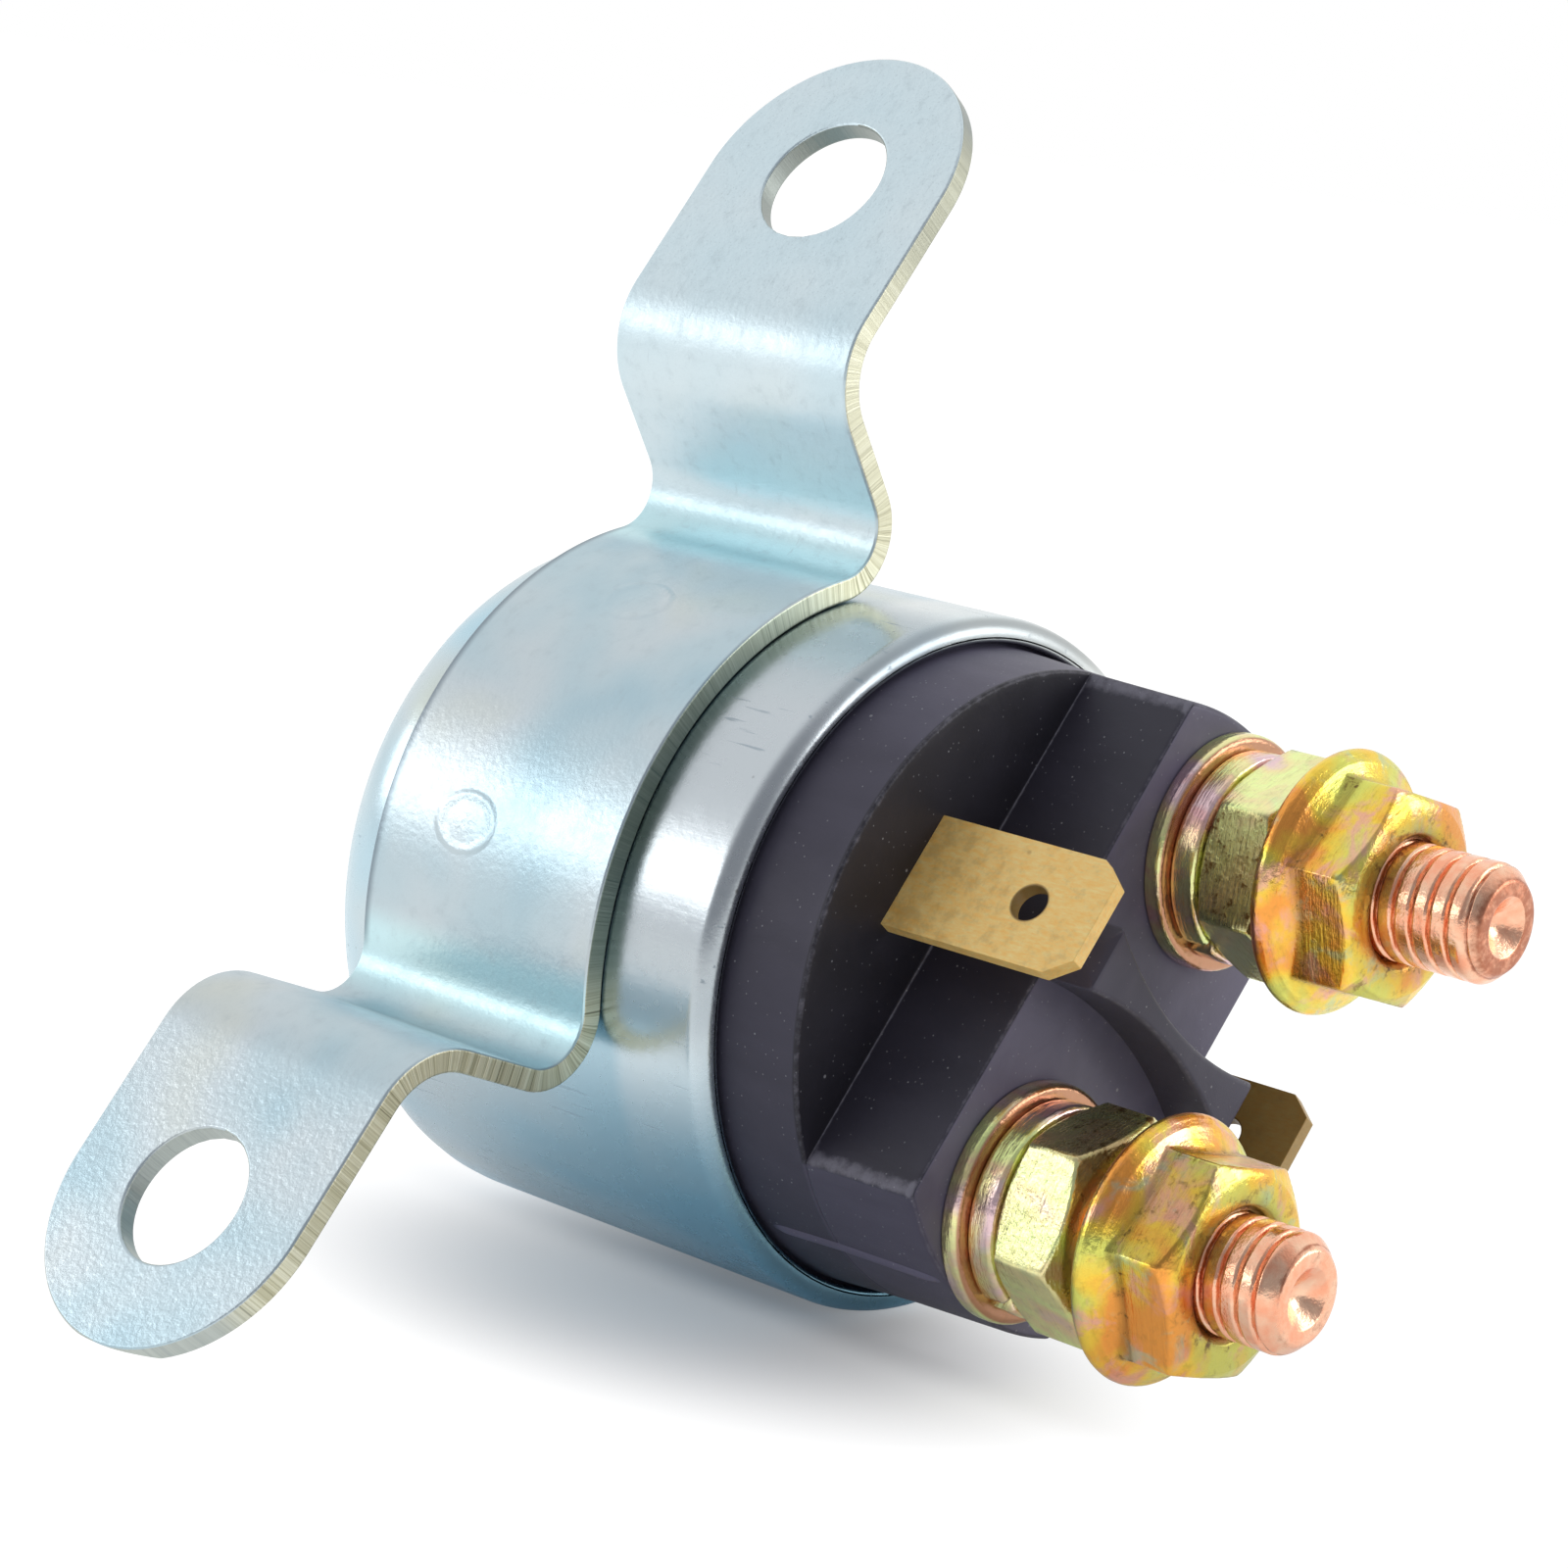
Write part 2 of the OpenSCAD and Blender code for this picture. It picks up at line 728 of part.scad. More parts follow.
// Contact bridge
module contact_disc() {
    color("orange")
        tube(disc_d / 2, bush_r + seat, disc_t, disc_z);
}
module contact_bush() {
    color("white")
        difference() {
            union() {
                translate([0, 0, disc_z])
                    cylinder(r = bush_r, h = disc_t);
                translate([0, 0, disc_top])
                    cylinder(d = bush_d, h = bush_flange_t);
            }
            translate([0, 0, disc_z - overrun])
                cylinder(r = rod_r + slide_clear, h = disc_t + bush_flange_t + 2 * overrun);
        }
}
module contact_washer() {
    color("white")
        tube(bush_d / 2, rod_r + slide_clear, under_washer_t, disc_z - under_washer_t);
}
module contact_spring() {
    color("lightgray")
        wire_coil(rod_r + spring_bore_clear + contact_wire / 2, contact_wire, contact_coils,
                  contact_spring_h, collar_top);
}

can_shell();
mounting_strap();
terminal_cap();
cap_gasket();
terminal_stud_a();
terminal_stud_b();
flat_washers();
spring_washers();
clamp_nuts();
flange_nut_a();
flange_nut_b();
blade_terminal_front();
blade_terminal_rear();
base_disc();
coil_bobbin();
coil_winding();
winding_tape();
coil_lead_front();
coil_lead_rear();
pole_plate();
fixed_core();
plunger();
push_rod();
retaining_clip();
return_spring();
contact_disc();
contact_bush();
contact_washer();
contact_spring();
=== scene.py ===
"""A starter solenoid relay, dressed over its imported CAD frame.

The can, strap, cap, studs, nuts, washers and blades are surfaces worked out on numpy grids.
The pieces inside the can keep their CAD meshes. Lengths are written in millimetres.
"""
import math

import bmesh
import bpy
import numpy as np
from mathutils import Matrix, Vector


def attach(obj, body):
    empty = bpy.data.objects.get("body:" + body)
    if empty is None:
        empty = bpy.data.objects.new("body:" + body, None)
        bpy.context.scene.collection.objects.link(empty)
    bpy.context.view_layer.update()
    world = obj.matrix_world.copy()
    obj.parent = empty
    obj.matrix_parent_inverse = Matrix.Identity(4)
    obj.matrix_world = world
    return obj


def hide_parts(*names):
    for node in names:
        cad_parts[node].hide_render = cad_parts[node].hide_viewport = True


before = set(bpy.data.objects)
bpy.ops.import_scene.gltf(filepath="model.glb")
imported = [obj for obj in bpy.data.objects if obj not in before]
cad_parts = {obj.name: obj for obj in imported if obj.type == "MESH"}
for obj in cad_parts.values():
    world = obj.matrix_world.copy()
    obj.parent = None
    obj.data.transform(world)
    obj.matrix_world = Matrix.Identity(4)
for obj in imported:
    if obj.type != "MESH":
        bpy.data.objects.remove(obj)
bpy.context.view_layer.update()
MM = 0.001
TAU = 2 * math.pi

# Camera and the surface that the relay lies on
CAMERA_AT = Vector((61.654, -163.113, 164.920))
CAMERA_AHEAD = Vector((-0.295072, 0.697356, -0.653167))
CAMERA_UP = Vector((-0.818704, -0.536968, -0.203442))
LENS, SENSOR = 100.74, 36.0
LIES_UP = Vector((-0.8103, -0.5860, 0.0))
LIES_DEPTH = 18.0
# Middles of the floor's painted shadow, as seen and as mirrored in metal
SHADOW_AT, MIRRORED_AT = (8.0, -6.3, 15.2), (6.0, -3.5, 18.2)
LAMPS_ROUND = Vector((-3, -10, 21))

# Can
CAN_R, CAN_BORE_R, CAN_CORNER_R = 18.0, 17.0, 5.0
CAN_TOP, CAN_LIP_R, CAN_LIP_H, RIM_EDGE_R = 28.5, 16.75, 0.8, 0.95
CAN_T = CAN_R - CAN_BORE_R

# Strap, measured along the middle of its sheet
STRAP_T, STRAP_W, STRAP_Z = 1.2, 16.0, 13.9
STRAP_FOOT, STRAP_HEAD = STRAP_Z - STRAP_W / 2, STRAP_Z + STRAP_W / 2
WRAP_R, WRAP_DEG = 18.65, 42.5
LEG_BEND_R, LEG_DEG, LEG_LEN = 2.9, 70.6, 4.5
EAR_BEND_R, EAR_FLAT, EAR_HOLE_R = 4.3, 7.75, 3.6
# Each stretch from the middle outwards: length and curvature
STRETCHES = [
    (math.radians(WRAP_DEG) * WRAP_R, 1 / WRAP_R),
    (math.radians(WRAP_DEG + LEG_DEG) * LEG_BEND_R, -1 / LEG_BEND_R),
    (LEG_LEN, 0.0),
    (math.radians(LEG_DEG) * EAR_BEND_R, 1 / EAR_BEND_R),
]
EAR_FROM = sum(length for length, _ in STRETCHES)
# Each spot weld: place along and across the sheet, and strength
WELD_MARKS = ((6.74, -2.1, 0.85), (-7.32, -0.3, 0.6))

# Cap
FLANGE_Z, CHAMBER_R, CHAMBER_TOP = 20.4, 14.9, 31.1
SKIRT_R, DECK_R, PAD_R = 16.55, 16.2, 16.0
DECK_Z, PAD_Z, BARRIER_TOP = 33.1, 39.7, 42.9
BLOCK_HALF = 7.5
BARRIER_WAIST, BARRIER_FLANK_R = 0.55, 23.2
MOULD_EDGE_R, DECK_EDGE_R = 0.3, 0.15
RIDGE_FROM, RIDGE_TO, RIDGE_BACK_R = 28.9, 39.2, 15.8
RIDGE_HALF, RIDGE_SUNK, RIDGE_PROUD = 0.42, 0.15, 0.16
# The ridge's turn angle at its foot, and degrees gained in a millimetre
RIDGE_DEG, RIDGE_LEAN = -7.75, 0.12376

# Studs, washers and nuts
STUD_X, STUD_R, STUD_TOP, STUD_CHAMFER = 10.2, 2.95, 56.7, 0.7
HEAD_Z, HEAD_R, HEAD_HALF = 28.6, 4.3, 3.8
CENTRE_R, CENTRE_DEPTH = 1.5, 1.2
PITCH, THREAD_DEPTH, FLANK_SHARE = 1.0, 0.42, 0.34
FLAT_WASHER_Z, FLAT_WASHER_R, FLAT_WASHER_T = 39.7, 6.0, 1.0
SPRING_WASHER_Z, SPRING_WASHER_R, SPRING_WASHER_T, SLIT = 40.7, 5.3, 1.5, 0.8
WASHER_HOLE_R = 3.15
NUT_FLATS, NUT_BORE_R, NUT_FACE_R = 10.0, 3.0, 4.7
CLAMP_NUT_Z, CLAMP_NUT_H = 42.2, 4.0
# Each clamp nut: place across, turn and the side that gets painted shade
CLAMP_NUTS = {"a": (-STUD_X, -29.0, 301.0), "b": (STUD_X, 20.0, 230.0)}
FLANGE_R, FLANGE_EDGE_R, FLANGE_CONE = 6.6, 0.5, 0.875
FLANGE_NUT_H, FLANGE_HEX_FROM = 4.8, 2.1
# Each flange nut: place across, height, turn and the side that gets painted shade
FLANGE_NUTS = {"a": (-STUD_X, 46.4, -7.4, 22.6), "b": (STUD_X, 47.9, -2.9, 267.1)}

# Blades
BLADE_W, BLADE_T, BLADE_Y = 6.3, 0.8, 11.2
BLADE_FOOT, BLADE_TIP, BLADE_HOLE_Z, BLADE_HOLE_R = 26.6, 44.4, 40.4, 0.95
TIP_CHAMFER_W, TIP_CHAMFER_H = 1.0, 1.3


# Surfaces

def mesh_piece(name, points, quads, fields=None):
    """A closed or open mesh from points in millimetres. Points that coincide are welded, and a
    quad that the welding pinches becomes a triangle."""
    keys = np.round(points / 1e-4).astype(np.int64)
    _, first, index = np.unique(keys, axis=0, return_index=True, return_inverse=True)
    corners = index.reshape(-1)[quads]
    same = corners == np.roll(corners, -1, axis=1)
    whole = corners[same.sum(1) == 0]
    pinched = same.sum(1) == 1
    keep = (np.argmax(same[pinched], axis=1)[:, None] + np.arange(1, 4)) % 4
    tips = np.take_along_axis(corners[pinched], keep, 1)
    mesh = bpy.data.meshes.new(name)
    mesh.from_pydata((points[first] * MM).tolist(), [], whole.tolist() + tips.tolist())
    for field, values in (fields or {}).items():
        flat = values[first].astype(np.float32)
        kind = "FLOAT" if flat.ndim == 1 else "FLOAT_VECTOR"
        layer = mesh.attributes.new(field, kind, "POINT")
        layer.data.foreach_set("value" if flat.ndim == 1 else "vector", flat.ravel())
    mesh.polygons.foreach_set("use_smooth", np.ones(len(mesh.polygons), bool))
    mesh.update()
    piece = bpy.data.objects.new(name, mesh)
    bpy.context.scene.collection.objects.link(piece)
    return piece


def face_outwards(piece):
    """Turns the faces of a closed mesh so that they point outwards."""
    mesh = bmesh.new()
    mesh.from_mesh(piece.data)
    bmesh.ops.recalc_face_normals(mesh, faces=mesh.faces)
    mesh.to_mesh(piece.data)
    mesh.free()
    return piece


def grid_quads(rows, columns, columns_close=False):
    """Corner numbers of the quads between neighbouring points of a rows by columns grid."""
    r = np.arange(rows - 1)[:, None]
    c = np.arange(columns if columns_close else columns - 1)[None, :]
    c2 = (c + 1) % columns
    quads = [r * columns + c, r * columns + c2, (r + 1) * columns + c2, (r + 1) * columns + c]
    return np.stack(quads, -1).reshape(-1, 4)


def even_turn(columns):
    """Angles that share a full turn evenly."""
    return np.arange(columns) * TAU / columns


def closed_grid(name, points, fields=None):
    """A closed mesh from rows of points that run round. A field holds a number for each point,
    or what repeats over them."""
    shape = points.shape[:2]
    data = {key: np.broadcast_to(value, shape).reshape(-1) for key, value in (fields or {}).items()}
    quads = grid_quads(*shape, columns_close=True)
    return face_outwards(mesh_piece(name, points.reshape(-1, 3), quads, data))


def turned(name, radius, height, angles, centre=0.0, fields=None):
    """At row s and turn angle a the point is (centre + radius(s, a) cos a, radius(s, a) sin a,
    height(s, a)). The first and last rows meet on the axis or on each other."""
    shape = (max(radius.shape[0], height.shape[0]), len(angles))
    radius, height = np.broadcast_to(radius, shape), np.broadcast_to(height, shape)
    points = np.stack([centre + radius * np.cos(angles), radius * np.sin(angles), height], -1)
    return closed_grid(name, points, fields)


def rounded(corners, steps=5, support=0.1):
    """A profile through corners (radius, height, fillet). Every fillet is an arc tangent to both
    its sides, with one more point just outside each end so that flat sides shade flat."""
    places = np.array([corner[:2] for corner in corners], float)
    profile = [places[:1]]
    fillets = [corner[2] for corner in corners[1:]]
    for before, at, after, fillet in zip(places, places[1:], places[2:], fillets):
        u = (before - at) / np.linalg.norm(before - at)
        v = (after - at) / np.linalg.norm(after - at)
        half = math.acos(np.clip(u @ v, -1, 1)) / 2
        if fillet <= 0:
            profile.append(at[None])
            continue
        cut = fillet / math.tan(half)
        centre = at + (u + v) / np.linalg.norm(u + v) * fillet / math.sin(half)
        sweep = math.pi - 2 * half
        t = np.linspace(0, 1, steps + 1)[:, None]
        start, end = at + u * cut - centre, at + v * cut - centre
        bow = (np.sin((1 - t) * sweep) * start + np.sin(t * sweep) * end) / math.sin(sweep)
        profile += [at[None] + u * (cut + support), centre + bow, at[None] + v * (cut + support)]
    profile.append(places[-1:])
    return np.concatenate(profile)


def soft_min(a, b, r):
    """The smaller of a and b, with their crossing rounded over where they differ by up to r."""
    h = np.clip(0.5 + 0.5 * (b - a) / r, 0, 1)
    return b + (a - b) * h - r * h * (1 - h)


def hexagon_radius(angles, flats, phase_deg):
    """Distance from the axis to a hexagon's side: half the flats over the cosine of the angle to
    the middle of the nearest side, with the corners rounded a little."""
    step = TAU / 6
    off = (angles - math.radians(phase_deg)) % step - step / 2
    return soft_min(flats / 2 / np.cos(off), flats / 2 / math.cos(step / 2) - 0.05, 0.06)


def hexagon_turn(phase_deg, per_side=26):
    """Angles of a full turn that crowd together towards the hexagon's corners."""
    t = np.linspace(-1, 1, per_side, endpoint=False)
    side = np.sign(t) * (1 - (1 - np.abs(t)) ** 1.8) * TAU / 12
    return (np.arange(6)[:, None] * TAU / 6 + side + TAU / 12 + math.radians(phase_deg)).ravel()


def holed_plate(centre, hole_r, outline, near=0.35):
    """Flat points between a round hole and the outline round it. Column i runs straight from the
    hole's edge to outline point i."""
    rays = outline - centre
    length = np.linalg.norm(rays, axis=1)
    inner = centre + rays / length[:, None] * hole_r
    close = np.clip(near / (length - hole_r), 0, 0.3)
    shares = [0 * close, close, *(close + (1 - 2 * close) * t for t in np.linspace(0, 1, 8)[1:-1]),
              1 - close, 1 + 0 * close]
    flat = inner + np.array(shares)[..., None] * (outline - inner)
    return flat.reshape(-1, 2), grid_quads(len(shares), len(outline), columns_close=True)


def sheet_metal(name, points, quads, flat, thickness, edge_r):
    """A sheet that gets its thickness to both sides, its cut edges in the second material slot,
    and those edges rounded. Its flat layout is kept as the field sheet."""
    piece = mesh_piece(name, points, quads, {"sheet": np.pad(flat, ((0, 0), (0, 1)))})
    wall = piece.modifiers.new("thickness", "SOLIDIFY")
    wall.thickness = thickness * MM
    wall.offset = 0
    wall.use_even_offset = True
    wall.material_offset_rim = 1
    rim = piece.modifiers.new("edges", "BEVEL")
    rim.width = edge_r * MM
    rim.segments = 3
    rim.limit_method = "ANGLE"
    rim.angle_limit = math.radians(50)
    rim.harden_normals = True
    return piece


# Finishes

class Value:
    """An output of a shader node. Python's operators on it add Math nodes."""

    def __init__(self, finish, socket):
        self.finish, self.socket = finish, socket

    def math(self, operation, first, second=0.0):
        return self.finish.node("ShaderNodeMath", {"operation": operation}, {0: first, 1: second})

    def __add__(self, other):
        return self.math("ADD", self, other)

    __radd__ = __add__

    def __mul__(self, other):
        return self.math("MULTIPLY", self, other)

    __rmul__ = __mul__

    def __sub__(self, other):
        return self.math("SUBTRACT", self, other)

    def __rsub__(self, other):
        return self.math("SUBTRACT", other, self)

    def __pow__(self, other):
        return self.math("POWER", self, other)

    def __abs__(self):
        return self.math("ABSOLUTE", self)


class Finish:
    """A procedural material. Its places and noises are in millimetres."""

    def __init__(self, name):
        self.material = bpy.data.materials.new(name)
        self.material.use_nodes = True
        self.tree = self.material.node_tree
        self.tree.nodes.clear()

    def node(self, kind, settings=None, sockets=None, out=0):
        """Adds a node, sets it up, then fills its sockets with numbers, colours or Values."""
        node = self.tree.nodes.new(kind)
        for key, value in (settings or {}).items():
            if key == "stops":
                ramp = node.color_ramp
                for _ in value[2:]:
                    ramp.elements.new(0.5)
                for element, (place, colour) in zip(ramp.elements, value):
                    element.position, element.color = place, (*colour, 1)
            else:
                setattr(node, key, value)
        for key, value in (sockets or {}).items():
            socket = node.inputs[key]
            if isinstance(value, Value):
                self.tree.links.new(value.socket, socket)
            elif socket.type == "RGBA":
                socket.default_value = (*value, 1)
            else:
                socket.default_value = value
        return Value(self, node.outputs[out]) if node.outputs else node

    def place(self, stretch=(1, 1, 1), turn=(0, 0, 0), field=None, move=(0, 0, 0)):
        """Where a point is in millimetres, in the object or in a field that the piece carries,
        stretched along its axes and then turned."""
        source, unit = self.node("ShaderNodeTexCoord", out=3), 1 / MM
        if field:
            source, unit = self.node("ShaderNodeAttribute", {"attribute_name": field}, out=1), 1
        angles = tuple(math.radians(t) for t in turn)
        return self.node("ShaderNodeMapping", None, {
            "Vector": source, "Rotation": angles, "Location": move,
            "Scale": tuple(s * unit for s in stretch)})

    def field(self, name):
        """A number that the piece carries at each of its points."""
        return self.node("ShaderNodeAttribute", {"attribute_name": name}, out=2)

    def parts(self, vector):
        """The three numbers of a vector."""
        first = self.node("ShaderNodeSeparateXYZ", None, {"Vector": vector})
        outputs = first.socket.node.outputs
        return first, Value(self, outputs[1]), Value(self, outputs[2])

    def noise(self, where, per_mm, detail=3.0, rough=0.55, bend=0.0):
        """Clouds from 0 to 1, with per_mm of them in a millimetre."""
        return self.node("ShaderNodeTexNoise", None, {
            "Vector": where, "Scale": per_mm, "Detail": detail, "Roughness": rough,
            "Distortion": bend})

    def cells(self, where, per_mm, out=0):
        """Distance to the nearest of scattered points, as a share of their spacing."""
        return self.node("ShaderNodeTexVoronoi", None, {"Vector": where, "Scale": per_mm}, out)

    def rise(self, value, low, high):
        """0 below low, 1 above high, and smooth between. Low may be the larger one."""
        return self.node("ShaderNodeMapRange", {"interpolation_type": "SMOOTHSTEP"}, {
            "Value": value, "From Min": low, "From Max": high})

    def ramp(self, value, *stops):
        return self.node("ShaderNodeValToRGB", {"stops": stops}, {"Fac": value})

    def mix(self, share, first, second):
        """The first colour where share is 0, the second where it is 1."""
        return self.node("ShaderNodeMix", {"data_type": "RGBA"},
                         {"Factor": share, 6: first, 7: second}, out=2)

    def bump(self, height):
        """A normal from a height in millimetres."""
        return self.node("ShaderNodeBump", None, {"Height": height, "Distance": MM})

    def specks(self, where, per_mm, size, share):
        """Small round spots: 1 within size of a scattered point, on a share of the points."""
        near = self.rise(self.cells(where, per_mm), size, size * 0.5)
        lot = self.parts(self.cells(where, per_mm, out=1))[0]
        return near * self.rise(lot, share, share * 0.9)

    def rays(self):
        """1 for what the camera sees itself, and 1 for what it sees mirrored or refracted."""
        seen = self.node("ShaderNodeLightPath")
        outputs = seen.socket.node.outputs
        glossy, through = outputs["Is Glossy Ray"], outputs["Is Transmission Ray"]
        return seen, Value(self, glossy) + Value(self, through)

    def made(self, sockets):
        """Ends the material in a Principled shader with these sockets."""
        shader = self.node("ShaderNodeBsdfPrincipled", None, sockets)
        self.node("ShaderNodeOutputMaterial", None, {"Surface": shader})
        return self.material


def zinc_on_can():
    """Bright zinc on drawn steel: pale blue to straw clouds and fine draw lines up the wall, with a
    painted highlight between strap and rim on the upper side, painted shade on the side towards
    the floor and on the rim's top, and a painted shadow along the strap's lower edge."""
    f = Finish("zinc_on_can")
    clouds = f.noise(f.place((1, 1, 0.5)), 0.09, 2, 0.5, 0.2)
    x, y, z = f.parts(f.place())
    down = x * 0.81 + y * 0.59
    # low is the side towards the floor. Its bluer, darker tint is painted shade, and the painted
    # highlights below leave that side out
    low = f.rise(down, -9.0, 13.0)
    tint = f.ramp(clouds - low * 0.26 + 0.10,
                  (0.26, (0.32, 0.60, 0.74)), (0.44, (0.48, 0.67, 0.76)),
                  (0.60, (0.58, 0.67, 0.70)), (0.76, (0.63, 0.67, 0.57)))
    # Painted highlights: whiter between strap and rim on the upper side, and near white in a band
    # just above the strap where near is high
    pale = f.rise(z, STRAP_HEAD + 0.5, STRAP_HEAD + 2.6) * (1 - low)
    tint = f.mix(pale * 0.6, tint, (0.82, 0.84, 0.82))
    near = f.rise(down, -16.5, -13.0) * (1 - low)
    gleam = f.rise(z, STRAP_HEAD + 0.3, STRAP_HEAD + 1.5) * near
    tint = f.mix(gleam * 0.85, tint, (0.98, 0.98, 0.97))
    # Painted shade on the top of the rolled rim on the upper side
    rim = f.rise(z, CAN_TOP - CAN_LIP_H, CAN_TOP - 0.3) * (1 - low) * (1 - near)
    tint = f.mix(rim * 0.65, tint, (0.30, 0.32, 0.32))
    # Painted shadow on the can along the strap's lower edge, on the camera's side
    strap_shadow = f.rise(z, STRAP_FOOT - 1.0, STRAP_FOOT - 0.2) * f.rise(y, -11.5, -14.0)
    lines = f.noise(f.place((1, 1, 0.06)), 5.0, 2)
    peel = f.noise(f.place(), 1.6, 3)
    grain = f.noise(f.place(), 9.0, 2)
    scratch = f.rise(f.noise(f.place((1.2, 1.2, 0.08), (8, 5, 0)), 2.2, 3, 0.5), 0.66, 0.72)
    grit = f.specks(f.place(), 0.55, 0.10, 0.22)
    height = peel * 0.010 + lines * 0.003 + grain * 0.002 - scratch * 0.004
    # worn holds the scratches and the painted strap shadow
    worn = f.mix(scratch * 0.25 + strap_shadow * 0.6, tint, (0.30, 0.37, 0.42))
    return f.made({
        "Base Color": f.mix(grit * 0.6, worn, (0.20, 0.19, 0.17)),
        "Metallic": 1.0,
        "Roughness": 0.20 + peel * 0.12 + scratch * 0.15 + rim * 0.08,
        "Normal": f.bump(height),
    })


def zinc_on_strap():
    """Bright zinc on rolled sheet: grain along the strip, pebbled on the ears, with spot welds.
    Painted light makes it whiter towards the upper ear, a painted reflection makes it bluer where
    the wrap turns into the legs, and painted shade darkens its lower edge round the wrap."""
    f = Finish("zinc_on_strap")
    sheet = f.place(field="sheet")
    along, across, _ = f.parts(sheet)
    on_ear = f.rise(abs(along), 26.0, 31.0)
    clouds = f.noise(sheet, 0.10, 2, 0.5, 0.2)
    tint = f.ramp(clouds, (0.28, (0.36, 0.53, 0.61)), (0.46, (0.49, 0.61, 0.66)),
                  (0.60, (0.57, 0.64, 0.67)), (0.76, (0.61, 0.64, 0.60)))
    rolled = f.noise(f.place((0.22, 1, 1), field="sheet"), 3.5, 3, 0.6)
    pebble = f.noise(sheet, 2.6, 3, 0.6)
    frost = f.noise(sheet, 1.0, 4, 0.7)
    flecks = f.rise(f.noise(sheet, 7.0, 2), 0.58, 0.70)
    # Painted light: whiter towards the upper ear
    upper = f.rise(along, -12.0, -20.0)
    tint = f.mix(upper * 0.65, tint, (0.72, 0.84, 0.88))
    # Painted reflection of the legs: bluer where the wrap turns into them
    leg_reflection = f.rise(abs(along), 11.6, 13.4) * f.rise(abs(along), 18.0, 15.5)
    tint = f.mix(leg_reflection * 0.75, tint, (0.60, 0.86, 0.90))
    bent = f.rise(abs(along), 13.0, 14.5) * f.rise(abs(along), 31.0, 28.5)
    # Painted shade along the strap's lower edge round the wrap
    edge_shade = f.rise(across, -7.35, -7.9) * f.rise(abs(along), 15.0, 13.0)
    scuffs = f.rise(f.noise(f.place((0.25, 1.6, 1), (0, 0, 24), "sheet"), 1.5, 4, 0.6), 0.66, 0.73)
    height = rolled * 0.008 + pebble * (0.020 + on_ear * 0.022) + f.noise(sheet, 10.0, 2) * 0.003
    for u, v, strength in WELD_MARKS:
        far = (((along - u) * 1.35) ** 2.0 + (across - v) ** 2.0) ** 0.5 + pebble * 0.3 - 0.15
        ring = f.rise(far, 2.25, 1.85) - f.rise(far, 1.85, 1.3) * 0.7
        spot = f.rise(far, 1.4, 0.2) * pebble
        height = height + ring * (0.05 * strength) + spot * (0.03 * strength)
    worn = scuffs * 0.3 + flecks * (0.10 + on_ear * 0.25) + f.rise(frost, 0.5, 0.8) * 0.3
    colour = f.mix(worn, tint, (0.40, 0.47, 0.50))
    return f.made({
        "Base Color": f.mix(edge_shade * 0.75, colour, (0.16, 0.20, 0.24)),
        "Metallic": 1.0,
        "Roughness": 0.22 + frost * 0.22 + on_ear * 0.06 + bent * 0.09,
        "Normal": f.bump(height),
    })


def sheared_edge():
    """The strap's cut edge: straw-green zinc, torn into streaks across the thickness, and plain
    grey in the holes and round the ears."""
    f = Finish("sheared_edge")
    sheet = f.place(field="sheet")
    streak = f.noise(sheet, 2.6, 4, 0.7)
    fine = f.noise(sheet, 9.0, 2)
    along, across, _ = f.parts(sheet)
    green = f.rise(abs(along), 15.0, 8.0)
    calm = f.rise(along, -14.0, -24.0)
    plain = f.rise(abs(across), 7.7, 6.0)
    shaded = f.rise(along, -9.0, 5.0) * f.rise(along, 14.0, 11.0)
    colour = f.ramp(streak * 0.5 + fine * 0.5, (0.36, (0.22, 0.21, 0.14)),
                    (0.45, (0.58, 0.56, 0.38)), (0.58, (0.86, 0.85, 0.66)))
    colour = f.mix(green * 0.5, colour, (0.42, 0.56, 0.50))
    colour = f.mix(calm * 0.55, colour, (0.66, 0.66, 0.52))
    colour = f.mix(plain * 0.8, colour, (0.46, 0.52, 0.52))
    colour = f.mix(f.rise(along, -29.0, -35.0) * 0.5, colour, (0.17, 0.19, 0.17))
    colour = f.mix(shaded * 0.6, colour, (0.10, 0.17, 0.16))
    return f.made({
        "Base Color": colour,
        "Metallic": 0.9,
        "Roughness": 0.32 + fine * 0.2,
        "Normal": f.bump(streak * 0.03 + fine * 0.015),
    })


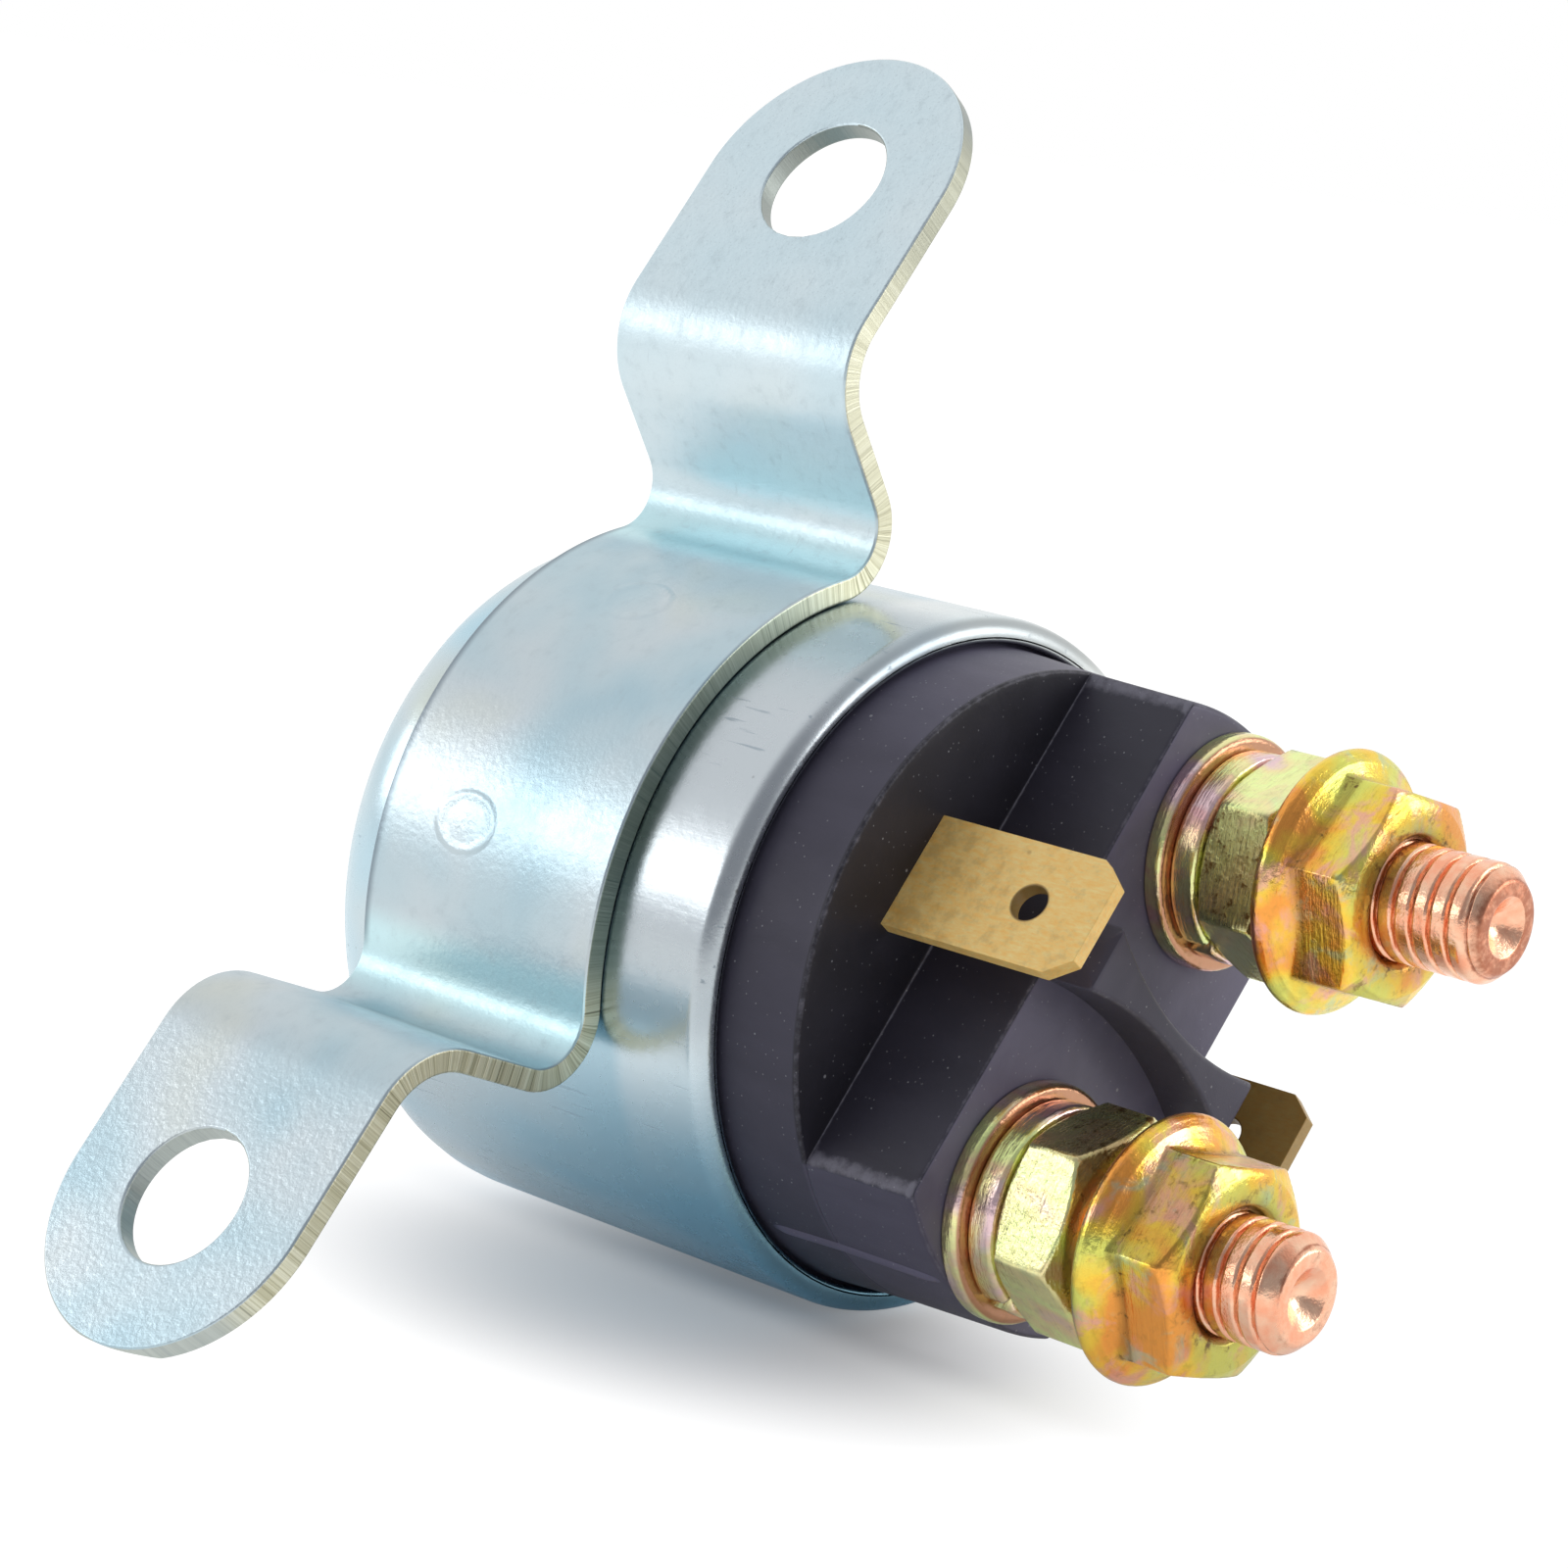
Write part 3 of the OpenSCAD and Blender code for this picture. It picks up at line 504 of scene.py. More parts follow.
def yellow_chromate(name, stops, pink, teal, brown=0.0):
    """Yellow-passivated zinc: its film drifts through the stops, with pink and teal patches, and
    tools left marks. The piece's field brown tells where it has a copper colour, and a second
    field where it is darkened: painted shade in creases, bore mouths, at edges and on one side,
    mottled by dirt."""
    f = Finish(name)
    where = f.place()
    drift = f.noise(where, 0.22, 2, 0.5, 0.3) + f.noise(where, 1.2, 3, 0.6) * 0.12 - 0.06
    film = f.ramp(drift, *stops)
    blush = f.rise(f.noise(f.place(move=(7, 3, 1)), 0.38, 4, 0.6, 0.6), 0.50, 0.66)
    film = f.mix(blush * pink, film, (0.90, 0.42, 0.40))
    cool = f.rise(f.noise(f.place(move=(2, 9, 4)), 0.42, 4, 0.6, 0.6), 0.54, 0.68)
    film = f.mix(cool * teal, film, (0.40, 0.66, 0.48))
    film = f.mix(f.field("brown") * brown, film, (0.56, 0.29, 0.17))
    marks = f.noise(f.place((0.12, 0.12, 1)), 6.0, 3, 0.6)
    dents = f.noise(where, 1.3, 3, 0.5)
    pits = f.noise(where, 3.5, 3, 0.7)
    specks = f.rise(f.noise(where, 1.3, 5, 0.75), 0.52, 0.66)
    # Painted shade in creases, mouths, edges and on one side, mottled by dirt specks
    dirt_and_shade = specks * 0.2 + f.field("grime") * (specks * 0.6 + 0.7)
    return f.made({
        "Base Color": f.mix(dirt_and_shade * 0.75 + f.rise(marks, 0.5, 0.7) * 0.12, film, (0.17, 0.10, 0.03)),
        "Metallic": 0.9,
        "Roughness": 0.13 + marks * 0.12 + dirt_and_shade * 0.12,
        "Normal": f.bump(marks * 0.035 + dents * 0.035 + pits * 0.02),
    })


def threaded_copper():
    """Rolled copper thread, bright on its crests and dull red-brown in its roots."""
    f = Finish("threaded_copper")
    root = f.field("root")
    clouds = f.noise(f.place(), 0.9, 3, 0.6)
    nicks = f.noise(f.place(), 5.0, 3, 0.6)
    bright = f.ramp(clouds, (0.35, (0.98, 0.43, 0.26)), (0.65, (1.0, 0.63, 0.43)))
    mottle = f.noise(f.place(), 2.4, 4, 0.7)
    darkening = f.rise(clouds * 0.5 + mottle * 0.5 + root * 0.55, 0.78, 1.06)
    return f.made({
        "Base Color": f.mix(darkening * 0.85, bright, (0.40, 0.12, 0.06)),
        "Metallic": 0.94,
        "Roughness": 0.09 + nicks * 0.12 + root * 0.2,
        "Normal": f.bump(nicks * 0.02 + clouds * 0.02),
    })


def brass_sheet(name, darkening):
    """Rolled brass, mottled brown towards the foot of the blade, with painted shade in its hole,
    and darkened all over as much as told, which is painted shade on the rear blade.
    """
    f = Finish(name)
    where = f.place()
    x, _, height = f.parts(where)
    low = f.rise(height, 41.0, 32.5)
    from_hole = (x ** 2.0 + (height - BLADE_HOLE_Z) ** 2.0) ** 0.5
    # Painted shade in the hole and just round it
    hole_shade = f.rise(from_hole, BLADE_HOLE_R + 0.13, BLADE_HOLE_R + 0.03)
    mottle = f.noise(where, 1.1, 4, 0.65)
    fine = f.noise(f.place((1, 1, 0.3)), 6.0, 3, 0.6)
    tarnish = f.rise(mottle + low * 0.10 + fine * 0.35, 0.66, 0.92)
    colour = f.ramp(fine, (0.3, (1.0, 0.59, 0.15)), (0.7, (1.0, 0.75, 0.29)))
    spots = f.specks(where, 0.8, 0.16, 0.14)
    colour = f.mix(tarnish * 0.35 + spots * 0.4, colour, (0.50, 0.24, 0.05))
    colour = f.mix(hole_shade * 0.75, colour, (0.10, 0.05, 0.01))
    return f.made({
        "Base Color": f.mix(darkening, colour, (0.17, 0.10, 0.03)),
        "Metallic": 0.12,
        "Roughness": 0.34 + fine * 0.14,
        "Normal": f.bump(fine * 0.008 + mottle * 0.006),
    })


def moulded_black():
    """Black moulding with flow marks, dust and rubbed edges, and a lighter purple painted sheen
    as much as a field of the piece tells."""
    f = Finish("moulded_black")
    where = f.place()
    rub = f.field("rub")
    flow = f.noise(f.place((1, 1, 0.4)), 0.35, 3, 0.5, 0.5)
    skin = f.noise(where, 8.0, 3, 0.6)
    dust = f.specks(where, 1.6, 0.10, 0.25) + f.specks(where, 0.5, 0.06, 0.5)
    dust = dust + f.specks(where, 4.0, 0.22, 0.16) * 0.6
    lint = f.rise(f.noise(f.place((1, 1, 0.25), (20, 10, 0)), 3.0, 4, 0.6), 0.66, 0.80)
    chafe = f.rise(rub + f.noise(where, 1.6, 4, 0.7) * 0.9, 1.05, 1.6)
    dark = f.mix(flow, (0.013, 0.012, 0.016), (0.028, 0.026, 0.038))
    # The lighter purple is a painted sheen, laid on by the piece's field
    satin = f.mix(flow, (0.098, 0.090, 0.140), (0.180, 0.166, 0.238))
    skin_tone = f.mix(f.field("satin"), dark, satin)
    colour = f.mix(chafe * 0.65 + lint * 0.05, skin_tone, (0.26, 0.25, 0.30))
    return f.made({
        "Base Color": f.mix(dust * 0.5, colour, (0.5, 0.5, 0.52)),
        "Roughness": 0.40 + skin * 0.12 + chafe * 0.1,
        "Specular IOR Level": 0.34,
        "Normal": f.bump(skin * 0.006 + flow * 0.05),
    })


def inner_finish(name, colour, darker, metallic, roughness, per_mm, depth, stretch=(1, 1, 1)):
    """Plain finish of a piece inside the can: two tones in clouds, with a fine grain."""
    f = Finish(name)
    clouds = f.noise(f.place(), 0.25, 3)
    grain = f.noise(f.place(stretch), per_mm, 3, 0.6)
    return f.made({
        "Base Color": f.mix(clouds * 0.5 + grain * 0.5, colour, darker),
        "Metallic": metallic,
        "Roughness": roughness + grain * 0.12,
        "Normal": f.bump(grain * depth),
    })


ZINC_CAN = zinc_on_can()
ZINC_STRAP = zinc_on_strap()
SHEARED = sheared_edge()
ORANGE, GOLD, OLIVE = (0.98, 0.40, 0.08), (0.98, 0.66, 0.08), (0.76, 0.76, 0.16)
LIME, LILAC, STRAW = (0.88, 0.98, 0.42), (0.86, 0.62, 0.64), (0.95, 0.82, 0.42)
CHROMATE_NUTS = yellow_chromate(
    "yellow_chromate_nuts", ((0.28, LILAC), (0.36, STRAW), (0.45, LIME), (0.68, STRAW)), 0.25, 0.2)
CHROMATE_FLANGES = yellow_chromate(
    "yellow_chromate_flanges", ((0.38, ORANGE), (0.49, GOLD), (0.60, OLIVE)), 0.7, 0.5)
CHROMATE_WASHERS = yellow_chromate(
    "yellow_chromate_washers", ((0.38, LILAC), (0.48, STRAW), (0.60, LIME)), 0.5, 0.2, 1.0)
COPPER = threaded_copper()
BLACK = moulded_black()


# Pieces that are seen

def dress(piece, materials, slot, *nodes):
    """Gives a piece its finishes, and has it stand for CAD nodes."""
    for material in materials:
        piece.data.materials.append(material)
    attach(piece, "relay")
    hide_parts(*nodes)


def can():
    """A closed wall turned round Z: out along the back, up the side, over the rolled rim, and
    down inside again."""
    profile = rounded([
        (0, 0, 0), (CAN_R, 0, CAN_CORNER_R), (CAN_R, CAN_TOP, RIM_EDGE_R),
        (CAN_LIP_R, CAN_TOP, 0.18), (CAN_LIP_R, CAN_TOP - CAN_LIP_H, 0.05),
        (CAN_BORE_R, CAN_TOP - CAN_LIP_H, 0.05),
        (CAN_BORE_R, CAN_T, CAN_CORNER_R - CAN_T), (0, CAN_T, 0)
    ], steps=10)
    return turned("can", profile[:, :1], profile[:, 1:], even_turn(288))


def strap_route(flat):
    """Carries flat points (along, across) onto the strap: from the middle of the wrap, each
    stretch goes on in an arc or a straight line from where the one before it ends. The ear is
    the last one, and straight."""
    along, side = np.abs(flat[:, 0]), np.sign(flat[:, 0])
    out = np.zeros((len(flat), 2))
    begin, start, heading = 0.0, np.array([0.0, -WRAP_R]), 0.0
    for length, curve in STRETCHES + [(STRAP_W * 2, 0.0)]:
        here = along >= begin - 1e-9
        run = np.append(np.minimum(along[here] - begin, length), length)
        end = heading + curve * run
        if curve:
            step = np.stack([np.sin(end) - math.sin(heading),
                             math.cos(heading) - np.cos(end)], -1) / curve
        else:
            step = run[:, None] * np.array([math.cos(heading), math.sin(heading)])
        out[here] = (start + step)[:-1]
        begin, start, heading = begin + length, start + step[-1], end[-1]
    return np.stack([out[:, 0] * np.where(side < 0, -1, 1), out[:, 1], STRAP_Z + flat[:, 1]], -1)


def strap():
    """A flat strip with a round, holed plate at each end, carried onto the strap's route."""
    half = STRAP_W / 2
    hole = EAR_FROM + EAR_FLAT
    across = half * np.array([-1, -0.956, -0.75, -0.5, -0.25, 0, 0.25, 0.5, 0.75, 0.956, 1])
    along = np.linspace(-EAR_FROM, EAR_FROM, 161)
    u, v = np.meshgrid(along, across, indexing="ij")
    flats = [np.stack([u, v], -1).reshape(-1, 2)]
    quads = [grid_quads(len(along), len(across))]
    side_u = np.linspace(EAR_FROM, hole, 20)[1:]
    tip = np.radians(np.linspace(-90, 90, 73))[1:]
    outline = np.concatenate([
        np.stack([0 * across + EAR_FROM, across[::-1]], -1),
        np.stack([side_u, 0 * side_u - half], -1),
        np.stack([hole + half * np.cos(tip), half * np.sin(tip)], -1),
        np.stack([side_u[-2::-1], 0 * side_u[:-1] + half], -1),
    ])
    ear, ear_quads = holed_plate(np.array([hole, 0]), EAR_HOLE_R, outline)
    for mirror in (1, -1):
        quads.append((ear_quads[:, ::-1] if mirror < 0 else ear_quads) + sum(len(f) for f in flats))
        flats.append(ear * (mirror, 1))
    flat = np.concatenate(flats)
    return sheet_metal("strap", strap_route(flat), np.concatenate(quads), flat, STRAP_T, 0.16)


def cap():
    """One closed wall: inside the chamber, round the flange, up the skirt, in over the deck to
    the block and up the block. The block's distance from the axis is the smaller of the
    moulding's radius and the half width of the block over the sine of the turn angle. The field
    rub tells which edges are rubbed, and a second field how much painted sheen each face gets."""
    corner = math.asin(BLOCK_HALF / DECK_R)
    spread = np.linspace(-1, 1, 41) ** 3 * 0.35
    quarter = np.concatenate([np.linspace(0, corner - 0.36, 14), corner + spread,
                              np.linspace(corner + 0.36, math.pi / 2, 36)])
    half_turn = np.concatenate([quarter, math.pi - quarter[-2::-1]])
    angles = np.concatenate([half_turn, math.pi + half_turn[1:-1]])
    wall = BLOCK_HALF / np.maximum(np.abs(np.sin(angles)), 1e-6)
    whole = np.ones_like(angles)

    def block(radius, inset=0.0):
        return soft_min(radius * whole, wall, MOULD_EDGE_R) - inset

    def draft(z):
        return PAD_R + (DECK_R - PAD_R) * (PAD_Z - z) / (PAD_Z - DECK_Z)

    skirt_z = CAN_TOP - CAN_LIP_H - 0.02
    flange = (CAN_BORE_R - 0.05) * whole
    rows = [(0 * whole, CHAMBER_TOP, 0), (CHAMBER_R * whole, CHAMBER_TOP, 0),
            (CHAMBER_R * whole, FLANGE_Z, 0), (flange, FLANGE_Z, 0), (flange, skirt_z, 0)]
    for z in np.linspace(skirt_z, DECK_Z - 0.3, 10):
        share = (z - skirt_z) / (DECK_Z - skirt_z)
        rows.append(((SKIRT_R + (DECK_R - SKIRT_R) * share) * whole, z, 0))
    ends = np.clip((wall - DECK_R) / 0.3, 0, 1)
    flat_side = 1 - ends
    for t in np.radians(np.linspace(0, 90, 6)):
        edge = DECK_R + 0.02 - DECK_EDGE_R * (1 - math.cos(t))
        rows.append((block(edge) * ends + edge * flat_side,
                     DECK_Z - DECK_EDGE_R * (1 - math.sin(t)), 0.75 * flat_side))
    inner = block(DECK_R)
    edge = DECK_R - 0.13
    for share in (0.06, 0.2, 0.4, 0.6, 0.8, 0.97):
        rows.append((np.minimum(edge, edge + (inner - edge) * share) * flat_side + inner * ends,
                     DECK_Z, 0))
    rows.append((inner, DECK_Z, flat_side))
    rows.append((inner, DECK_Z + 0.10, 0.8 * flat_side))
    corner_rub = 1.4 * np.exp(-((wall - DECK_R + 0.3) / 0.7) ** 2)
    for z in np.linspace(DECK_Z + 0.25, PAD_Z - 0.5, 12):
        rows.append((block(draft(z)), z, 0.75 * corner_rub))
    for t in np.radians(np.linspace(0, 90, 7)):
        rows.append((block(PAD_R, MOULD_EDGE_R * (1 - math.cos(t))),
                     PAD_Z - MOULD_EDGE_R * (1 - math.sin(t)),
                     np.maximum(0.8 * math.sin(2 * t), corner_rub * math.cos(t))))
    for share in (0.97, 0.85, 0.6, 0.3, 0.0):
        rows.append((block(PAD_R, MOULD_EDGE_R) * share, PAD_Z, 0))
    radius = np.array([row[0] for row in rows])
    height = np.array([[row[1]] for row in rows])
    rub = np.array([row[2] * whole for row in rows])
    # Painted sheen: on the skirt strongest towards 222 degrees, full on the pad's top, weaker on
    # the block's ends and sides
    sheen = 0.32 + 0.42 * np.exp(-((np.degrees(angles) - 222) / 32) ** 2)
    sides = 0.55 * ends + 0.15 * flat_side * (height > DECK_Z + 0.05)
    satin = np.where(height > PAD_Z - 0.02, 1.0, np.where(height < DECK_Z - 0.2, sheen, sides))
    return turned("cap", radius, height, angles, fields={"rub": rub, "satin": satin})


def barrier():
    """A wall whose half width is the waist plus the rise of the hollow flank's circle, carried
    along Y. Its top edges are rounded and it is sunk into the block."""
    y = np.concatenate([[-BLOCK_HALF], np.linspace(-BLOCK_HALF + 0.04, BLOCK_HALF - 0.04, 61),
                        [BLOCK_HALF]])
    half = BARRIER_WAIST + BARRIER_FLANK_R - np.sqrt(BARRIER_FLANK_R ** 2 - y ** 2)
    half[[0, -1]] -= 0.12
    t = np.radians(np.linspace(0, 90, 6))
    z = np.concatenate([[PAD_Z - 0.6, PAD_Z, PAD_Z + 1.2, BARRIER_TOP - 0.4],
                        BARRIER_TOP - MOULD_EDGE_R * (1 - np.sin(t))])
    inset = np.concatenate([[0, 0, 0, 0], MOULD_EDGE_R * (1 - np.cos(t))])
    rub = np.concatenate([[0, 0, 0, 0], 0.8 * np.sin(2 * t)])
    right = half[:, None] - inset
    x = np.concatenate([right, -right[:, ::-1]], 1)
    points = np.stack([x, y[:, None] + 0 * x, np.concatenate([z, z[::-1]]) + 0 * x], -1)
    middle = points[[0, -1]] * (0, 1, 0) + (0, 0, (PAD_Z + BARRIER_TOP) / 2)
    points = np.concatenate([middle[:1], points, middle[1:]])
    rubs = np.pad(np.concatenate([rub, rub[::-1]]) + 0 * x, ((1, 1), (0, 0)))
    return closed_grid("barrier", points, {"rub": rubs, "satin": 0.4})


def parting_ridge():
    """The mould's parting ridge up the round end of the block: a bow over its width, standing
    proud of the moulding's radius and leaning a little along the way."""
    z = np.linspace(RIDGE_FROM, RIDGE_TO, 30)[:, None]
    lean = np.radians(RIDGE_DEG + RIDGE_LEAN * (z - RIDGE_FROM))
    across = np.linspace(-1, 1, 9)[None]
    fade = np.clip(np.minimum(z - RIDGE_FROM, RIDGE_TO - z) / 0.8, 0, 1)
    wall = np.interp(z, (CAN_TOP - CAN_LIP_H, DECK_Z, PAD_Z), (SKIRT_R, DECK_R, PAD_R))
    bow = (RIDGE_SUNK + RIDGE_PROUD * fade) * (1 - across ** 2)
    a = lean + across * RIDGE_HALF / PAD_R
    r = np.concatenate([wall - RIDGE_SUNK + bow, 0 * bow + RIDGE_BACK_R], 1)
    a = np.concatenate([a, a[:, ::-1]], 1)
    ring = np.stack([r * np.cos(a), r * np.sin(a), z + 0 * a], -1)
    ends = ring.mean(1, keepdims=True) * np.ones((1, ring.shape[1], 1))
    ring = np.concatenate([ends[:1], ring, ends[-1:]])
    return closed_grid("parting_ridge", ring, {"rub": 0.35, "satin": 1.0})


def stud(name, x, phase, dull):
    """A stud with a flatted head. Above the cap its radius follows a thread: the height less the
    turn angle's share of the pitch gives the place in the thread, whose flanks are straight
    and whose crests and roots are rounded. The end is chamfered, has a turning centre, and is
    as dull as told."""
    angles = even_turn(96)
    rows, roots = [], []

    def row(radius, z, root=0.0):
        rows.append((radius + 0 * angles, z + 0 * angles))
        roots.append(root + 0 * angles)

    head = soft_min(0 * angles + HEAD_R, HEAD_HALF / np.maximum(np.abs(np.sin(angles)), 1e-6), 0.2)
    row(0, HEAD_Z)
    row(head - 0.3, HEAD_Z)
    row(head, HEAD_Z + 0.3)
    row(head, CHAMBER_TOP)
    row(STUD_R, CHAMBER_TOP)
    face = STUD_R - STUD_CHAMFER
    for z in np.arange(PAD_Z - 0.2, STUD_TOP - 0.04, PITCH / 14):
        place = ((z - angles / TAU * PITCH + phase) / PITCH) % 1
        flank = np.clip(np.abs(2 * place - 1) / FLANK_SHARE, 0, 1)
        fade = min(1.0, max(0.0, (z - PAD_Z) / 0.8))
        depth = THREAD_DEPTH * (1 - flank * flank * (3 - 2 * flank)) * fade
        limit = face + (STUD_TOP - z) * 0.9
        bevel = max(0.0, 1 - (STUD_TOP - z) / 0.8)
        radius = soft_min(STUD_R - depth, limit + 0 * angles, 0.12)
        row(radius, z, np.maximum(1 - flank, bevel * dull))
    for r, z in ((face - 0.03, -0.02), (face - 0.12, 0), (CENTRE_R + 0.15, 0),
                 (CENTRE_R + 0.03, -0.01), (CENTRE_R - 0.05, -0.05),
                 (CENTRE_R / 2, -CENTRE_DEPTH * 0.52), (0, -CENTRE_DEPTH)):
        row(r, STUD_TOP + z, dull * (0.9 if r > CENTRE_R else 0.3))
    radius = np.array([r for r, _ in rows])
    height = np.array([z for _, z in rows])
    return turned(name, radius, height, angles, x, {"root": np.array(roots)})


def nut_sides(angles, phase, from_z, to_z, edges):
    """Rows of a hexagon between two heights, turned off under a 30 degree cone at each of the
    named edges, with the rows crowded there."""
    slope = math.tan(math.radians(30))
    corner_h = (NUT_FLATS / 2 / math.cos(TAU / 12) - NUT_FACE_R) * slope
    side = hexagon_radius(angles, NUT_FLATS, phase)
    z = np.concatenate([np.linspace(from_z, from_z + corner_h, 9)[:-1],
                        np.linspace(from_z + corner_h, to_z - corner_h, 4),
                        np.linspace(to_z - corner_h, to_z, 9)[1:]])
    rows = []
    for height in z:
        limit = 2 * NUT_FLATS
        if "top" in edges:
            limit = min(limit, NUT_FACE_R + (to_z - height) / slope)
        if "bottom" in edges:
            limit = min(limit, NUT_FACE_R + (height - from_z) / slope)
        rows.append((soft_min(side, limit + 0 * side, 0.06), height))
    return rows


def mouth(z, up, whole):
    """Rows from a nut's face into its countersunk bore."""
    return [((NUT_BORE_R + 0.75) * whole, z), ((NUT_BORE_R + 0.42) * whole, z),
            ((NUT_BORE_R + 0.34) * whole, z + up * 0.04), (NUT_BORE_R * whole, z + up * 0.34)]


def nut_piece(name, x, z, rows, angles, fields):
    """Closes rows of (radius, height) into a nut that stands at height z on the stud at x."""
    rows = rows + rows[:1]
    radius = np.array([r for r, _ in rows])
    height = np.array([h + z + 0 * angles for _, h in rows])
    return turned(name, radius, height, angles, x, fields)


def facing(angles, way):
    """1 on the hexagon side that faces a turn angle in degrees, 0 on the others."""
    return 1.0 * (np.abs((np.degrees(angles) - way + 180) % 360 - 180) < 29)


def clamp_nut(name, x, phase, shaded_side):
    """A plain hexagon nut, chamfered on both faces, darkened at its edges and on one side:
    painted shade with dirt in it.
    """
    angles = hexagon_turn(phase)
    whole = np.ones_like(angles)
    sides = nut_sides(angles, phase, 0, CLAMP_NUT_H, ("top", "bottom"))
    mouths = mouth(CLAMP_NUT_H, -1, whole) + mouth(0, 1, whole)[::-1]
    number = np.arange(len(sides))
    edge = np.exp(-np.minimum(number, number[::-1]) / 1.5)
    grime = np.maximum(0.8 * edge[:, None], 0.9 * facing(angles, shaded_side))
    grime = np.pad(grime, ((0, len(mouths) + 1), (0, 0)))
    return nut_piece(name, x, CLAMP_NUT_Z, sides + mouths, angles, {"grime": grime})


def flange_nut(name, x, z, phase, shaded_side):
    """A hexagon nut in one piece with its flange: the flange's edge is a bow, and its dished
    cone runs in from there until it meets the hexagon's side at each turn angle. One side of
    the hexagon, the crease round it, the flange's rim and the edges of its mouth are darkened:
    painted shade with dirt in it."""
    angles = hexagon_turn(phase)
    whole = np.ones_like(angles)
    side = hexagon_radius(angles, NUT_FLATS, phase)

    def dish(r):
        share = (FLANGE_R - r) / (FLANGE_R - NUT_FLATS / 2)
        return 2 * FLANGE_EDGE_R + 0.02 + FLANGE_CONE * share ** 1.5

    rows = [((FLANGE_R - FLANGE_EDGE_R) * whole, 0.0)]
    for t in np.radians(np.linspace(-90, 70, 11)):
        rows.append(((FLANGE_R - FLANGE_EDGE_R * (1 - math.cos(t))) * whole,
                     FLANGE_EDGE_R * (1 + math.sin(t))))
    reach = FLANGE_R - 0.42
    for share in np.linspace(0, 1, 8):
        r = reach + (side + 0.12 - reach) * share
        rows.append((r, dish(r)))
    rows.append((side + 0.03, dish(side) + 0.06))
    root = len(rows)
    rows += nut_sides(angles, phase, FLANGE_HEX_FROM, FLANGE_NUT_H, ("top",))
    top = len(rows)
    rows += mouth(FLANGE_NUT_H, -1, whole) + mouth(0, 1, whole)[::-1]
    number = np.arange(len(rows) + 1)[:, None]
    grime = np.maximum(np.exp(-((number - root) / 2.0) ** 2), 0.8 * (number < 5))
    grime = np.maximum(grime, 1.2 * np.exp(-((number - top - 2) / 2.6) ** 2))
    on_side = (number > root) * (number < top - 1)
    grime = np.maximum(grime, 0.6 * facing(angles, shaded_side) * on_side)
    return nut_piece(name, x, z, rows, angles, {"grime": grime})


def washer_section(outer_r, foot, head, low, high, inner):
    """A washer's section round from the middle of its foot, with fillets low and high on the
    outside and inner on both edges of the hole."""
    middle = (WASHER_HOLE_R + outer_r) / 2
    return rounded([
        (middle, foot, 0), (outer_r, foot, low), (outer_r, head, high),
        (WASHER_HOLE_R, head, inner), (WASHER_HOLE_R, foot, inner), (middle, foot, 0)
    ], support=0.05)


def flat_washer(name, x):
    """A stamped ring: rolled over at its upper edge, sharper below, and copper brown on top."""
    head = FLAT_WASHER_Z + FLAT_WASHER_T
    profile = washer_section(FLAT_WASHER_R, FLAT_WASHER_Z, head, 0.15, 0.38, 0.15)
    upper = profile[:, 1:] > head - 0.08
    return turned(name, profile[:, :1], profile[:, 1:], even_turn(160), x, {"brown": 1.0 * upper})


def spring_washer(name, x):
    """A ring of rounded section from one side of its slit to the other. The section closes over
    its middle at both cut ends."""
    foot, head = SPRING_WASHER_Z, SPRING_WASHER_Z + SPRING_WASHER_T
    section = washer_section(SPRING_WASHER_R, foot, head, 0.28, 0.28, 0.2)[:-1]
    gap = SLIT / 2 / SPRING_WASHER_R
    angles = np.linspace(gap, TAU - gap, 180)
    angles = np.concatenate([angles[:1], angles, angles[-1:]])
    r = np.repeat(section[None, :, 0], len(angles), 0)
    h = np.repeat(section[None, :, 1], len(angles), 0)
    r[[0, -1]], h[[0, -1]] = (WASHER_HOLE_R + SPRING_WASHER_R) / 2, (foot + head) / 2
    points = np.stack([x + r * np.cos(angles)[:, None], r * np.sin(angles)[:, None], h], -1)
    return closed_grid(name, points)


def blade(name, y):
    """A flat blade round its hole, with two chamfered corners at the tip."""
    half = BLADE_W / 2
    corners = np.array([
        (half, BLADE_FOOT), (half, BLADE_TIP - TIP_CHAMFER_H), (half - TIP_CHAMFER_W, BLADE_TIP),
        (TIP_CHAMFER_W - half, BLADE_TIP), (-half, BLADE_TIP - TIP_CHAMFER_H), (-half, BLADE_FOOT)
    ])
    ends = np.roll(corners, -1, axis=0)
    counts = (26, 8, 12, 8, 26, 14)
    outline = np.concatenate([a + (b - a) * np.linspace(0, 1, n, endpoint=False)[:, None]
                              for a, b, n in zip(corners, ends, counts)])
    flat, quads = holed_plate(np.array([0, BLADE_HOLE_Z]), BLADE_HOLE_R, outline, 0.2)
    points = np.stack([flat[:, 0], 0 * flat[:, 0] + y, flat[:, 1]], -1)
    return sheet_metal(name, points, quads, flat, BLADE_T, 0.14)


